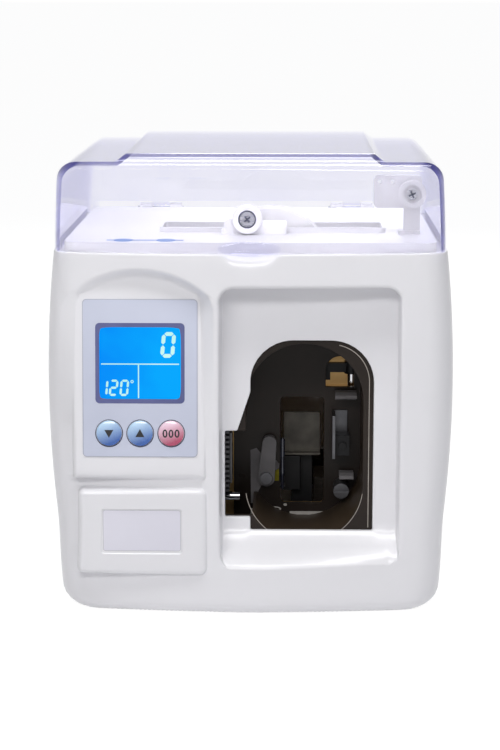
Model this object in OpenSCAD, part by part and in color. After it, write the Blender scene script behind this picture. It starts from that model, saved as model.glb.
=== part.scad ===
// Banknote strapping machine. X runs to the viewer's right, Y to the back, Z up.
// The origin lies under the middle of the machine, on the surface it stands on.

/* [Housing] */
// Widest point of the housing, across the bowed sides
body_w = 246; // [240:1:256]
// Depth of the housing, front to back
body_d = 225; // [221:1:235]
// Height of the seam between housing and lid
seam_z = 222; // [220:1:228]
// Height of the widest point of the bowed sides
belly_z = 138; // [125:1:150]
// Radius of the bow of each side, seen from the front
side_bow_r = 745; // [700:5:900]
// Radius of the bow of the front, seen from above
front_bow_r = 750; // [700:5:900]
// Radius of the upright corners, seen from above
corner_r = 20; // [16:1:24]
// Radius of the lower edge of each side
lower_r = 12; // [8:1:14]
// Wall of the moulded housing
wall = 3; // [2.5:0.1:3.5]
// Depth of the rear cover, from its back face to its joint with the front cover
rear_d = 20; // [16:1:24]
// Height of the rubber feet
foot_h = 3.5; // [3:0.5:5]
// Radius of a rubber foot
foot_r = 9; // [7:0.5:11]

/* [Recess and window] */
// Left edge of the note recess
recess_x0 = -18; // [-19:0.5:-17]
// Right edge of the note recess
recess_x1 = 90; // [86:1:92]
// Lower edge of the note recess
recess_z0 = 31; // [30:0.5:34]
// Upper edge of the note recess
recess_z1 = 201.5; // [198:0.5:204]
// Corner radius of the note recess
recess_r = 8.5; // [6:0.5:10]
// Depth of the note recess behind the foremost point of the front
recess_depth = 24.5; // [22:0.5:26]
// Wall round the note recess
recess_wall = 2.2; // [2:0.1:2.5]
// Height that the sloping sill rises towards the back wall
sill_rise = 17; // [12:1:20]
// Right edge of the window
window_x1 = 75; // [72:0.5:78]
// Lower edge of the window
window_z0 = 49; // [48:0.5:52]
// Upper edge of the window
window_z1 = 167; // [165:0.5:170]
// Radius of the upper window corners
window_r = 26; // [20:1:30]
// Height of the notch in the left edge of the window
notch_h = 54; // [50:1:56]

/* [Console] */
// Left edge of the console panel
panel_x0 = -106.5; // [-107:0.5:-105]
// Right edge of the console panel
panel_x1 = -26.7; // [-28:0.1:-25]
// Lower edge of the console panel
panel_z0 = 85.7; // [84:0.5:88]
// Upper corners of the console panel
panel_z1 = 196; // [194:0.5:198]
// Rise of the arched top above the corners
panel_arch = 6.5; // [4:0.5:8]
// Backward tilt of the console panel
panel_tilt = 6; // [4:0.5:8]
// Height at which the plane of the console passes through the front
panel_mid_z = 142; // [140:0.5:144]
// Depth of the console's walls behind its face
panel_depth = 13; // [12:0.5:14]
// Rounding of the console's lower edge
panel_round = 5; // [3:0.5:6]
// Width of the overlay
overlay_w = 68.8; // [66:0.2:70]
// Height of the overlay
overlay_h = 94.6; // [92:0.2:96]
// Width of the display glass
glass_w = 49; // [46:0.5:50]
// Height of the display glass
glass_h = 43.2; // [40:0.4:45]
// Radius of a key
key_r = 7.6; // [6:0.1:7.8]
// Distance between the centres of two keys
key_pitch = 18.6; // [17:0.1:19]
// Travel of a key
key_travel = 0.8; // [0.4:0.1:1]
// Width of the lower pad
pad_w = 77.4; // [74:0.2:80]
// Height of the lower pad
pad_h = 51.3; // [48:0.5:54]
// Width of the label recess in the lower pad
label_w = 48; // [40:0.5:54]
// Height of the label recess in the lower pad
label_h = 26.5; // [20:0.5:30]

/* [Lid and deck] */
// Height of the raised middle of the lid above the seam
lid_h = 58; // [57:1:68]
// Height of the shoulders of the lid above the seam
shoulder_h = 53.5; // [52:0.5:56]
// Width of the raised middle of the lid
raised_w = 146.4; // [130:1:150]
// Wall of the clear lid
lid_wall = 2.5; // [2:0.1:3]
// Width of the finger tab
tab_w = 37; // [30:1:44]
// Radius of a hinge pin
hinge_pin_r = 1.5; // [1.2:0.1:1.8]
// Radius of a hinge knuckle
knuckle_r = 4; // [3.6:0.1:4.2]
// Height of the deck platform above the seam
deck_rise = 5.5; // [4:0.5:6]
// Height of the rim round the roll slot
slot_rim_h = 3; // [2:0.5:4]

// Length of the roll slot in the deck
slot_w = 136; // [120:1:140]
// Height of the ring on the side bracket above the deck
side_rise = 24.2; // [20:0.1:26]

/* [Paper roll] */
// Radius of a full roll of paper tape
roll_r = 36; // [30:0.5:38]
// Width of the paper tape
tape_w = 20; // [19:0.5:20.5]
// Outer radius of the cardboard core
core_r = 18; // [16:0.5:20]
// Radius of the reel axle
axle_r = 5; // [4:0.25:6]
// Radius of the white retainer knob
knob_r = 9.1; // [8:0.1:10]

/* [Tape track] */
// Inner radius of the round ends of the tape track
track_r = 36.25; // [35:0.25:36.5]
// Height of the straight sides of the tape track
track_straight = 52.5; // [50:0.5:54]
// Wall of the tape track
track_wall = 2; // [1.5:0.1:2.5]
// Sheet of the dark throat plates
throat_t = 2.5; // [2:0.1:3]
// Height of the viewing opening behind the track
view_h = 70.25; // [60:0.25:72]

/* [Sealing head] */
// Radius of the cam at rest
cam_base_r = 12; // [10:0.5:14]
// Lift of the cam, and stroke of the sealing head
cam_lift = 9; // [6:0.5:10]
// Turn of the cam that makes the whole stroke
cam_turn = 170; // [150:5:180]
// Radius of the follower roller
follower_r = 4; // [3.5:0.25:4.5]
// Radius of a guide rod
rod_r = 3; // [2.5:0.25:3.5]
// Height of the finned heater block
heater_h = 41; // [36:1:44]
// Number of fins on the heater block
fin_count = 13; // [9:1:15]

/* [Tape feed] */
// Radius of the feed roller and of the pinch roller
feed_r = 9; // [8:0.25:9.5]
// Radius of the roller and cam shafts
shaft_r = 3; // [2.5:0.25:3.5]
// Module of the gears
gear_m = 0.8; // [0.8:0.1:1]
// Teeth of the motor pinions
pinion_n = 14; // [14:1:16]
// Teeth of the feed gear
feed_gear_n = 36; // [32:1:40]
// Teeth of the cam gear
cam_gear_n = 48; // [44:1:52]

/* [Rear and electrics] */
// Number of vent slots in the rear cover
vent_count = 9; // [5:1:11]
// Height of a vent slot
vent_h = 36; // [24:1:40]
// Width of the power socket opening
socket_w = 27; // [26:0.5:29]
// Height of the power socket opening
socket_h = 19.5; // [19:0.5:21]
// Width of the power switch opening
switch_w = 13; // [12:0.5:14]
// Height of the power switch opening
switch_h = 19.5; // [19:0.5:21]
// Thickness of the base plate and of the steel frame
sheet_t = 2; // [1.5:0.1:2.5]

/* [Fits] */
// Running fit between a shaft and its hole, on the radius
fit = 0.05; // [0.03:0.01:0.08]
// Clearance between pieces that move past each other
gap = 0.3; // [0.3:0.05:0.4]
// Clearance round a piece that drops into its opening
seat = 0.1; // [0.05:0.05:0.2]
// Clearance between pressed pieces
press = 0.02; // [0.01:0.01:0.03]

/* [Hidden] */
$fn = 64;
// Overcut of every cutting shape
over = 1;
// Outer faces
floor_z = foot_h;
front_y = -body_d / 2;
back_y = body_d / 2;
// The bow of the front starts this far behind the front
bow_back = 2.5;
skin_y = front_y + bow_back;
back_r = 9;
split_y = back_y - rear_d;
side_axis_x = body_w / 2 - side_bow_r;
seam_half = body_w / 2 - pow(seam_z - belly_z, 2) / (2 * side_bow_r);
// Console: panel_lo, panel_hi and the centres are measured up its face
panel_face_y = front_y + (panel_mid_z - panel_z0) * tan(panel_tilt);
panel_w = panel_x1 - panel_x0;
panel_cx = (panel_x0 + panel_x1) / 2;
panel_lo = panel_z0 - panel_mid_z;
panel_hi = panel_z1 - panel_mid_z;
panel_skin = 2.5;
overlay_t = 0.4;
overlay_cx = panel_cx + 1.1;
overlay_cz = panel_lo + 61.3;
display_cz = overlay_cz + 9;
key_z = overlay_cz - 33;
key_hole_r = key_r + gap;
bezel_w = glass_w + 4.2;
bezel_h = glass_h + 4.8;
board_y = panel_depth + 1.5;
board_t = 1.6;
// Lower pad
pad_x0 = panel_x0 + 2.9;
pad_z1 = panel_z0 - 6;
pad_z0 = pad_z1 - pad_h;
pad_y = front_y + 0.5;
pad_depth = 11.5;
// Recess
recess_back_y = front_y + recess_depth;
throat_y = recess_back_y + recess_wall;
// Tape plane and track, worked out from the window
track_cx = window_x1 - 42;
track_z0 = window_z0 - 9 + track_r;
track_z1 = track_z0 + track_straight;
track_y0 = throat_y + throat_t;
back_plate_y = -20;
mech_y = back_plate_y + throat_t;
mech_back_y = mech_y + sheet_t;
tape_y = back_plate_y - 12;
tape_y0 = tape_y - tape_w / 2;
tape_y1 = tape_y + tape_w / 2;
view_x0 = track_cx - 15;
view_x1 = track_cx + 13;
view_z0 = window_z0 - 1;
view_z1 = view_z0 + view_h;
// Deck
deck_y0 = front_y + 14.5;
deck_y1 = back_y - 15;
deck_plate_z = seam_z - 3.5;
deck_top_z = seam_z + deck_rise;
deck_half = seam_half - wall - 4;
deck_r = 9;
// Paper roll, hung over the track
roll_x = track_cx - 20.3;
roll_z = track_z1 + track_r + track_wall + roll_r + 3;
slot_x0 = roll_x - slot_w / 2;
slot_x1 = roll_x + slot_w / 2;
slot_y0 = tape_y0 - 3;
slot_y1 = tape_y1 + 5;
rim_t = 2;
// Hinge line of the lid
hinge_y = back_y - 8.5;
hinge_z = seam_z + 4;
hinge_x = 66;
knuckle_w = 12;
pin_len = 32;
// Lid
lid_half = seam_half - 1.8;
lid_y0 = skin_y + 1;
lid_y1 = hinge_y;
lid_z0 = seam_z + gap;
lid_top_z = seam_z + lid_h;
shoulder_z = seam_z + shoulder_h;
lid_r = 11;
// Knob in front of the roll, and its bracket
knob_x = roll_x - 15.2;
knob_z = deck_top_z + knob_r + 0.6;
knob_t = 5;
knob_screw_r = 2;
bracket_y = slot_y0 - 7;
bracket_half = 4;
knob_back_y = bracket_y - bracket_half - gap;
bracket_hole_r = 1.3;
bracket_holes = [knob_x - 11, knob_x + 17];
// Side bracket
side_x = deck_half - 12.8;
side_z = deck_top_z + side_rise;
side_y = -50;
side_t = 3;
// Rear screws, base plate and feet
base_half = 95;
base_y = 94;
screw_x = 80;
screw_zs = [floor_z + 26.5, seam_z - 22];
screw_r = 1.6;
foot_x = base_half - 11;
foot_y = base_y - 14;
// Power socket and switch
socket_x = 50;
socket_z = floor_z + 38.5;
switch_x = 12;
// Guide finger, lever, anvil and sensor
finger_x = track_cx + 31;
finger_y = mech_back_y + 7;
finger_z = track_z1 + 3;
finger_r = 3;
lever_x = track_cx - 24;
lever_z = window_z0 + 17;
anvil_x = track_cx + 24;
anvil_z = window_z0 + 11;
pin_r = 2.5;
sensor_x = anvil_x - 4;
sensor_z = anvil_z + 22;
// Sealing head, cam and follower
head_z = window_z0 + 33;
head_y0 = tape_y - 13;
head_y1 = tape_y + 9;
head_face_x = track_cx - track_r - 11;
carrier_x = track_cx - track_r - 40;
bracket_x = carrier_x - 8;
rod_z = heater_h / 2 + 5;
cam_x = carrier_x - 34.75;
cam_t = 6;
follower_x = cam_x + cam_base_r + gap + follower_r;
follower_y = tape_y - 3;
// Feed rollers, one each side of the tape
feed_line_x = roll_x - roll_r;
feed_z = track_z1 + 16.25;
feed_x = feed_line_x - feed_r - gap / 2;
pinch_x = feed_line_x + feed_r + gap / 2;
// Gears and motors behind the mechanism plate
gear_y0 = mech_back_y + 2;
gear_t = 5;
gear_y1 = gear_y0 + gear_t;
motor_face_y = gear_y1 + 3;
pinion_shaft_r = 1.5;
cam_gear_r = gear_m * cam_gear_n / 2;
feed_gear_r = gear_m * feed_gear_n / 2;
pinion_r = gear_m * pinion_n / 2;
cam_motor_z = head_z - cam_gear_r - pinion_r;
feed_motor_x = feed_x - feed_gear_r - pinion_r;
cam_motor_r = 16;
cam_motor_len = 42;
feed_motor_r = 15;
feed_motor_len = 38;
boss_r = 7;
shaft_places = [[cam_x, head_z], [feed_x, feed_z], [pinch_x, feed_z]];
pin_places = [[lever_x, lever_z], [anvil_x, anvil_z]];

// Points on an arc, from angle a0 to angle a1
function arc(cx, cy, r, a0, a1, n) = [for (i = [0:n]) let (a = a0 + (a1 - a0) * i / n)
  [cx + r * cos(a), cy + r * sin(a)]];

// Rounded rectangle from (x0, y0) to (x1, y1)
module rounded(x0, y0, x1, y1, r) {
  polygon(concat(arc(x1 - r, y0 + r, r, -90, 0, 8), arc(x1 - r, y1 - r, r, 0, 90, 8),
    arc(x0 + r, y1 - r, r, 90, 180, 8), arc(x0 + r, y0 + r, r, 180, 270, 8)));
}

// Rounded rectangle of width w and height h round its centre
module centred(cx, cy, w, h, r) {
  rounded(cx - w / 2, cy - h / 2, cx + w / 2, cy + h / 2, r);
}

// Block from one corner to the other
module block(x0, y0, z0, x1, y1, z1) {
  translate([x0, y0, z0]) cube([x1 - x0, y1 - y0, z1 - z0]);
}

// Prism of an outline drawn in X and Z, from y0 to y1
module prism(y0, y1) {
  translate([0, y1, 0]) rotate([90, 0, 0]) linear_extrude(height = y1 - y0) children();
}

// Prism of an outline drawn in Y and Z, from x0 to x1
module side_prism(x0, x1) {
  translate([x0, 0, 0]) rotate([90, 0, 90]) linear_extrude(height = x1 - x0) children();
}

// Prism of an outline drawn in X and Y, from z0 to z1
module plan_prism(z0, z1) {
  translate([0, 0, z0]) linear_extrude(height = z1 - z0) children();
}

// Round bar along Y
module bar(x, z, r, y0, y1) {
  translate([x, y1, z]) rotate([90, 0, 0]) cylinder(r = r, h = y1 - y0);
}

// Round bar along X
module bar_x(x0, x1, y, z, r) {
  translate([x0, y, z]) rotate([0, 90, 0]) cylinder(r = r, h = x1 - x0);
}

// Round bar along Z
module bar_z(x, y, r, z0, z1) {
  translate([x, y, z0]) cylinder(r = r, h = z1 - z0);
}

// Right half of the housing in plan, shrunk by inset: bowed front, round corner, side and back
function bow_y(x, inset) = skin_y + front_bow_r - sqrt(pow(front_bow_r - inset, 2) - x * x);
function plan_half(inset) = let (
    cx = body_w / 2 - corner_r,
    cy = skin_y + front_bow_r - sqrt(pow(front_bow_r - corner_r, 2) - cx * cx),
    turn = asin(cx / (front_bow_r - corner_r)))
  concat([for (i = [-1:6]) let (x = cx * i / 7) [x, bow_y(x, inset)]],
    arc(cx, cy, corner_r - inset, -90 + turn, 0, 8),
    arc(body_w / 2 - back_r, back_y - back_r, back_r - inset, 0, 90, 4),
    [[-cx / 7, back_y - inset]]);

// The plan swept round the side's axis gives the bowed side
module housing_half(inset) {
  intersection() {
    translate([side_axis_x, 0, belly_z]) rotate([-90, 0, 0]) rotate_extrude($fn = 256)
      translate([-side_axis_x, 0]) polygon(plan_half(inset));
    block(0, front_y - over, 0, body_w, back_y + over, 2 * seam_z);
  }
}

// The bowed outer form of the housing, shrunk by inset, between two heights
module housing_form(inset, z0, z1) {
  low_half = body_w / 2 - pow(belly_z - floor_z - lower_r, 2) / (2 * side_bow_r) - inset;
  low_r = lower_r - inset / 2;
  low_z = floor_z + inset + low_r;
  low_x = low_half - low_r + 1;
  intersection() {
    union() {
      housing_half(inset);
      mirror([1, 0, 0]) housing_half(inset);
    }
    prism(front_y - over, back_y + over)
      polygon(concat([[body_w, z1], [-body_w, z1], [-body_w, low_z]],
        arc(-low_x, low_z, low_r, 180, 270, 6), arc(low_x, low_z, low_r, 270, 360, 6),
        [[body_w, low_z]]));
    block(-body_w, front_y - over, z0, body_w, back_y + over, z1 + over);
  }
}

// Places children on the console: X across, Y into the panel, Z up it
module on_console() {
  translate([0, panel_face_y, panel_mid_z]) rotate([-panel_tilt, 0, 0]) children();
}

// Outline of the console panel, arched at the top
module panel_outline(grow) {
  half = panel_w / 2 + grow;
  r = (half * half + panel_arch * panel_arch) / (2 * panel_arch);
  sweep = asin(half / r);
  polygon(concat([[panel_cx - half, panel_lo - grow], [panel_cx + half, panel_lo - grow]],
    arc(panel_cx, panel_hi + grow + panel_arch - r, r, 90 - sweep, 90 + sweep, 12)));
}

// Display opening, grown or shrunk by grow
module display_outline(w, h, grow, r) {
  centred(overlay_cx, display_cz, w + 2 * grow, h + 2 * grow, r);
}

// Window in the back wall of the recess, with its notch at the left
module window_outline() {
  x0 = recess_x0 + 10;
  step_x = x0 + 8;
  notch_z0 = window_z0 + 8;
  notch_z1 = notch_z0 + notch_h;
  polygon(concat([[step_x, window_z0], [window_x1, window_z0]],
    arc(window_x1 - window_r, window_z1 - window_r, window_r, 0, 90, 8),
    arc(x0 + 8 + window_r, window_z1 - window_r, window_r, 90, 180, 8),
    [[x0 + 8, notch_z1 + 24], [x0, notch_z1], [recess_x0, notch_z1], [recess_x0, notch_z0],
      [step_x, notch_z0]]));
}

// Oval of the tape track, grown by g
module track_outline(g) {
  hull() {
    translate([track_cx, track_z0]) circle(r = track_r + g);
    translate([track_cx, track_z1]) circle(r = track_r + g);
  }
}

// Console box: the panel's outline, with its lower edge rounded over
module console_shell() {
  on_console() intersection() {
    prism(0, panel_depth) panel_outline(0);
    side_prism(panel_x0 - over, panel_x1 + over)
      polygon(concat([[panel_depth, 2 * panel_hi], [0, 2 * panel_hi]],
        arc(panel_round, panel_lo + panel_round, panel_round, 180, 270, 6),
        [[panel_depth, panel_lo]]));
  }
}

module console_cuts() {
  on_console() {
    prism(-3 * panel_depth, 0) panel_outline(0.8);
    prism(panel_skin, panel_depth + over) panel_outline(-wall);
    prism(-over, panel_skin + over) display_outline(bezel_w, bezel_h, 0, 1);
    for (i = [-1:1]) bar(overlay_cx + i * key_pitch, key_z, key_hole_r, -over, panel_skin + over);
  }
}

module lower_pad() {
  prism(pad_y, pad_y + pad_depth) rounded(pad_x0, pad_z0, pad_x0 + pad_w, pad_z1, 3);
}

module pad_cuts() {
  prism(pad_y + wall, pad_y + pad_depth + over)
    rounded(pad_x0 + wall, pad_z0 + wall, pad_x0 + pad_w - wall, pad_z1 - wall, 2);
  // Recess for a label
  prism(pad_y - over, pad_y + 0.8)
    centred(pad_x0 + pad_w / 2, (pad_z0 + pad_z1) / 2, label_w, label_h, 1.5);
}

// Cavity of the note recess, with its sloping sill
module recess_cavity() {
  difference() {
    prism(front_y - 2 * over, recess_back_y)
      rounded(recess_x0, recess_z0, recess_x1, recess_z1, recess_r);
    side_prism(recess_x0 - over, recess_x1 + over)
      polygon([[front_y - 3, recess_z0 - 3], [front_y, recess_z0],
        [recess_back_y + over, recess_z0 + sill_rise], [recess_back_y + over, recess_z0 - 3]]);
  }
}

// Moulded wall of the whole housing, open at the seam and over the base plate
module housing_wall() {
  difference() {
    housing_form(0, floor_z, seam_z);
    housing_form(wall, floor_z + wall, seam_z + 20);
    block(-base_half, -base_y, floor_z - over, base_half, base_y, floor_z + wall + over);
  }
}

module front_cover() {
  scoop_half = tab_w / 2 + 2;
  scoop_r = 13;
  scoop_h = 9;
  color("whitesmoke") difference() {
    union() {
      difference() {
        housing_wall();
        block(-body_w, split_y, -over, body_w, back_y + 2 * over, seam_z + over);
      }
      intersection() {
        housing_form(0, floor_z + 5, seam_z);
        union() {
          prism(front_y - over, throat_y)
            rounded(recess_x0 - recess_wall, recess_z0 - recess_wall, recess_x1 + recess_wall,
              recess_z1 + recess_wall, recess_r + recess_wall);
          // Wall behind the finger scoop
          block(-scoop_half - wall, front_y, seam_z - 16, scoop_half + wall, skin_y + 7, seam_z);
        }
      }
      console_shell();
      lower_pad();
    }
    recess_cavity();
    prism(recess_back_y - over, throat_y + over) window_outline();
    console_cuts();
    pad_cuts();
    // Finger scoop under the lid's tab
    bar_x(-scoop_half, scoop_half, skin_y - 11, seam_z - 3, scoop_r);
    block(-scoop_half, front_y - over, seam_z - scoop_h, scoop_half, skin_y + 3.5, seam_z + over);
  }
}

module rear_cover() {
  vent_w = 4.4;
  vent_pitch = 10;
  vent_z0 = belly_z + 12;
  y0 = back_y - wall - over;
  y1 = back_y + over;
  color("whitesmoke") difference() {
    housing_wall();
    block(-body_w, front_y - 2 * over, -over, body_w, split_y, seam_z + over);
    // Vent slots
    for (i = [0:vent_count - 1]) let (x = (i - (vent_count - 1) / 2) * vent_pitch)
      prism(y0, y1) centred(x, vent_z0 + vent_h / 2, vent_w, vent_h, vent_w / 2 - 0.1);
    // Power socket and switch openings
    prism(y0, y1) centred(socket_x, socket_z, socket_w, socket_h, 2);
    prism(y0, y1) centred(switch_x, socket_z, switch_w, switch_h, 0.8);
    for (s = [-1, 1], z = screw_zs) {
      bar(s * screw_x, z, screw_r + 0.2, y0, y1);
      bar(s * screw_x, z, 2 * screw_r + 0.2, back_y - 1.5, y1);
    }
  }
}

module base_plate() {
  half = base_half - gap;
  ear = 8;
  ear_z0 = floor_z + wall + gap;
  ear_y0 = base_y - 5;
  flange_y = back_y - wall - gap;
  color("gainsboro") {
    block(-half, -base_y + gap, floor_z, half, base_y - gap, floor_z + sheet_t);
    // Upturned flanges that the rear cover is screwed to
    for (s = [-1, 1]) let (x0 = s * screw_x - ear, x1 = s * screw_x + ear) difference() {
      union() {
        block(x0, ear_y0, ear_z0, x1, flange_y, ear_z0 + sheet_t);
        block(x0, flange_y - sheet_t, ear_z0, x1, flange_y, screw_zs[0] + ear);
        block(x0, ear_y0, floor_z, x1, base_y - gap, ear_z0 + sheet_t);
      }
      bar(s * screw_x, screw_zs[0], screw_r + fit, flange_y - sheet_t - over, flange_y + over);
    }
  }
}

module foot() {
  color("dimgray") for (sx = [-1, 1], sy = [-1, 1])
    bar_z(sx * foot_x, sy * foot_y, foot_r, 0, floor_z);
}

module casing_screw() {
  head_y = back_y - 1.48;
  color("silver") for (s = [-1, 1], z = screw_zs) difference() {
    union() {
      bar(s * screw_x, z, screw_r, back_y - 12, head_y + 0.5);
      bar(s * screw_x, z, 2 * screw_r - 0.1, head_y, back_y - 0.2);
    }
    for (a = [0, 90]) translate([s * screw_x, back_y - 1, z]) rotate([0, a, 0])
      block(-2, 0, -0.35, 2, 2, 0.35);
  }
}

// Outline of the roll slot, grown by g
module slot_outline(g, r) {
  rounded(slot_x0 - g, slot_y0 - g, slot_x1 + g, slot_y1 + g, r);
}

// Closes the housing under the lid
module top_deck() {
  low_z = deck_plate_z - over;
  ear = 4;
  lug = 6;
  color("white") difference() {
    union() {
      // Plate that drops inside the walls
      housing_form(wall + gap, deck_plate_z, seam_z - 0.5);
      // Raised platform
      plan_prism(seam_z - over, deck_top_z)
        rounded(-deck_half, deck_y0, deck_half, deck_y1, deck_r);
      // Rim round the roll slot
      plan_prism(deck_top_z - over, deck_top_z + slot_rim_h) slot_outline(rim_t, 4);
      // Hinge ears at both ends of each pin
      for (s = [-1, 1], e = [-1, 1]) let (x = s * hinge_x + e * (knuckle_w / 2 + ear + gap)) {
        bar_x(x - ear, x + ear, hinge_y, hinge_z, knuckle_r);
        block(x - ear, deck_y1 - 3, deck_plate_z, x + ear, hinge_y + 1, hinge_z - 1);
      }
      // Lugs for the upper screws of the rear cover
      for (s = [-1, 1]) block(s * screw_x - lug, back_y - wall - 9, screw_zs[1] - lug - 1,
        s * screw_x + lug, back_y - wall - gap, deck_plate_z + over);
    }
    // Clear of the wall behind the finger scoop
    block(-tab_w / 2 - 6, front_y, low_z, tab_w / 2 + 6, skin_y + 7.5, seam_z + over);
    // Hollow under the platform
    plan_prism(low_z, deck_top_z - wall) difference() {
      rounded(-deck_half + wall, deck_y0 + wall, deck_half - wall, deck_y1 - wall, deck_r - 2);
      slot_outline(rim_t, 4);
    }
    plan_prism(low_z, deck_top_z + slot_rim_h + over) slot_outline(0, 2.5);
    for (s = [-1, 1]) {
      bar_x(s * hinge_x - pin_len, s * hinge_x + pin_len, hinge_y, hinge_z, hinge_pin_r + fit);
      bar(s * screw_x, screw_zs[1], screw_r + fit, back_y - wall - 10, back_y);
    }
    // Holes for the screws of the knob's bracket
    for (x = bracket_holes) bar_z(x, bracket_y + 1, bracket_hole_r, low_z, deck_top_z + over);
  }
}

// Outer form of the lid, shrunk by inset
module lid_form(inset) {
  half_low = lid_half - inset;
  half_top = half_low - 2.5;
  raised = raised_w / 2 - inset / 2;
  top = lid_top_z - inset;
  shoulder = shoulder_z - inset;
  back_top_r = 9;
  front_top_r = 10;
  intersection() {
    // Front view, with the raised middle
    prism(lid_y0 - over, lid_y1 + over)
      polygon(concat([[-half_low, lid_z0 - 2 * inset], [half_low, lid_z0 - 2 * inset]],
        arc(half_top - lid_r, shoulder - lid_r, lid_r, 0, 90, 6),
        [[raised + 6, shoulder], [raised, top], [-raised, top], [-raised - 6, shoulder]],
        arc(-half_top + lid_r, shoulder - lid_r, lid_r, 90, 180, 6)));
    // Side view, with the sloping front
    side_prism(-body_w, body_w)
      polygon(concat([[lid_y0 + inset, lid_z0 - 20], [lid_y1 - inset, lid_z0 - 20]],
        arc(lid_y1 - inset - back_top_r, top - back_top_r, back_top_r, 0, 90, 6),
        arc(lid_y0 + inset + 17, top - front_top_r, front_top_r, 90, 170, 6),
        [[lid_y0 + inset, lid_z0 + 2]]));
    // Plan view, with the bowed front
    plan_prism(lid_z0 - 20, lid_top_z + over) intersection() {
      rounded(-half_low, lid_y0 + inset, half_low, lid_y1 - inset, corner_r - 3 - inset);
      translate([0, lid_y0 + front_bow_r + inset]) circle(r = front_bow_r, $fn = 256);
    }
  }
}

module lid() {
  tab_z = lid_z0 + 4;
  tab_r = 28;
  color("lavender", 0.5) difference() {
    union() {
      difference() {
        lid_form(0);
        lid_form(lid_wall);
        // Clear of the hinge line and of the deck at the back
        block(-body_w, lid_y1 - lid_wall - 3, lid_z0 - over, body_w, lid_y1 + over,
          hinge_z + knuckle_r + 1.2);
      }
      // Finger tab that hangs over the scoop
      prism(lid_y0 + gap, lid_y0 + lid_wall)
        polygon(concat([[tab_w / 2, tab_z], [-tab_w / 2, tab_z]],
          arc(0, tab_z + 18, tab_r, -90 - 38, -90 + 38, 10)));
      for (s = [-1, 1]) let (x0 = s * hinge_x - knuckle_w / 2, x1 = s * hinge_x + knuckle_w / 2) {
        bar_x(x0, x1, hinge_y, hinge_z, knuckle_r);
        block(x0, lid_y1 - lid_wall, hinge_z, x1, lid_y1, hinge_z + 2 * knuckle_r);
      }
    }
    for (s = [-1, 1])
      bar_x(s * hinge_x - knuckle_w, s * hinge_x + knuckle_w, hinge_y, hinge_z, hinge_pin_r + fit);
  }
}

module hinge_pin() {
  color("silver") for (s = [-1, 1])
    bar_x(s * hinge_x - pin_len / 2, s * hinge_x + pin_len / 2, hinge_y, hinge_z, hinge_pin_r);
}

module keypad_overlay() {
  color("lightsteelblue") on_console() difference() {
    prism(-overlay_t, 0) centred(overlay_cx, overlay_cz, overlay_w, overlay_h, 2.4);
    prism(-over, over) display_outline(bezel_w, bezel_h, -0.4, 0.8);
    for (i = [-1:1]) bar(overlay_cx + i * key_pitch, key_z, key_hole_r, -over, over);
  }
}

module display_bezel() {
  bezel_depth = 7;
  color("slategray") on_console() difference() {
    prism(0, bezel_depth) display_outline(bezel_w, bezel_h, -seat, 0.9);
    prism(-over, bezel_depth + over) display_outline(glass_w, glass_h, 0, 0.6);
  }
}

module display_glass() {
  color("deepskyblue") on_console() prism(0.6, 6) display_outline(glass_w, glass_h, -seat, 0.5);
}

// Domed key on its stem, at place i counted from the middle
module key_cap(i) {
  dome_r = 24;
  rise = 2.2;
  skirt = 4;
  stem_r = 2.5;
  stem_y1 = board_y - key_travel - gap - 3;
  on_console() translate([overlay_cx + i * key_pitch, 0, key_z]) {
    intersection() {
      bar(0, 0, key_r, -rise, skirt);
      translate([0, dome_r - rise, 0]) sphere(r = dome_r, $fn = 128);
    }
    bar(0, 0, stem_r, skirt - over, stem_y1);
  }
}

module key_down() { color("royalblue") key_cap(-1); }
module key_up() { color("royalblue") key_cap(0); }
module key_clear() { color("palevioletred") key_cap(1); }

module control_board() {
  margin = wall + 2;
  switch_half = 3;
  plunger_r = 1.7;
  header_w = 44;
  header_h = 6;
  chip_w = 18;
  chip_t = 2.4;
  post_r = 2.6;
  post_x = panel_w / 2 - 8.4;
  rear_y = board_y + board_t;
  color("darkgreen") on_console() {
    prism(board_y, rear_y)
      rounded(panel_x0 + margin, panel_lo + margin, panel_x1 - margin, panel_hi - margin + over, 1.5);
    // Tact switch under each key
    for (i = [-1:1]) translate([overlay_cx + i * key_pitch, 0, key_z]) {
      block(-switch_half, board_y - 2, -switch_half, switch_half, board_y + seat, switch_half);
      bar(0, 0, plunger_r, board_y - 3, board_y - 2 + seat);
    }
    // Header that carries the display, and the controller chip
    prism(6.2, board_y + seat) centred(overlay_cx, display_cz, header_w, header_h, 0.5);
    prism(rear_y - seat, rear_y + chip_t) centred(overlay_cx, display_cz - 5, chip_w, chip_w, 0.5);
    // Posts that carry the board from the console's face
    for (sx = [-1, 1], z = [panel_lo + 8, display_cz + 27])
      bar(panel_cx + sx * post_x, z, post_r, panel_skin, board_y + seat);
  }
}

// Marker strip with two dots at the front of the deck
module slot_marker() {
  strip_y = deck_y0 + 14.5;
  strip_x0 = knob_x - 83.5;
  strip_x1 = knob_x - 37.5;
  dot_r = 6;
  t = 0.4;
  color("steelblue") {
    block(strip_x0, strip_y, deck_top_z, strip_x1, strip_y + 2 * t, deck_top_z + t);
    for (x = [strip_x0 + 10, strip_x1 - 10.5])
      bar_z(x, strip_y - dot_r - 0.5, dot_r, deck_top_z, deck_top_z + t);
  }
}

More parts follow.
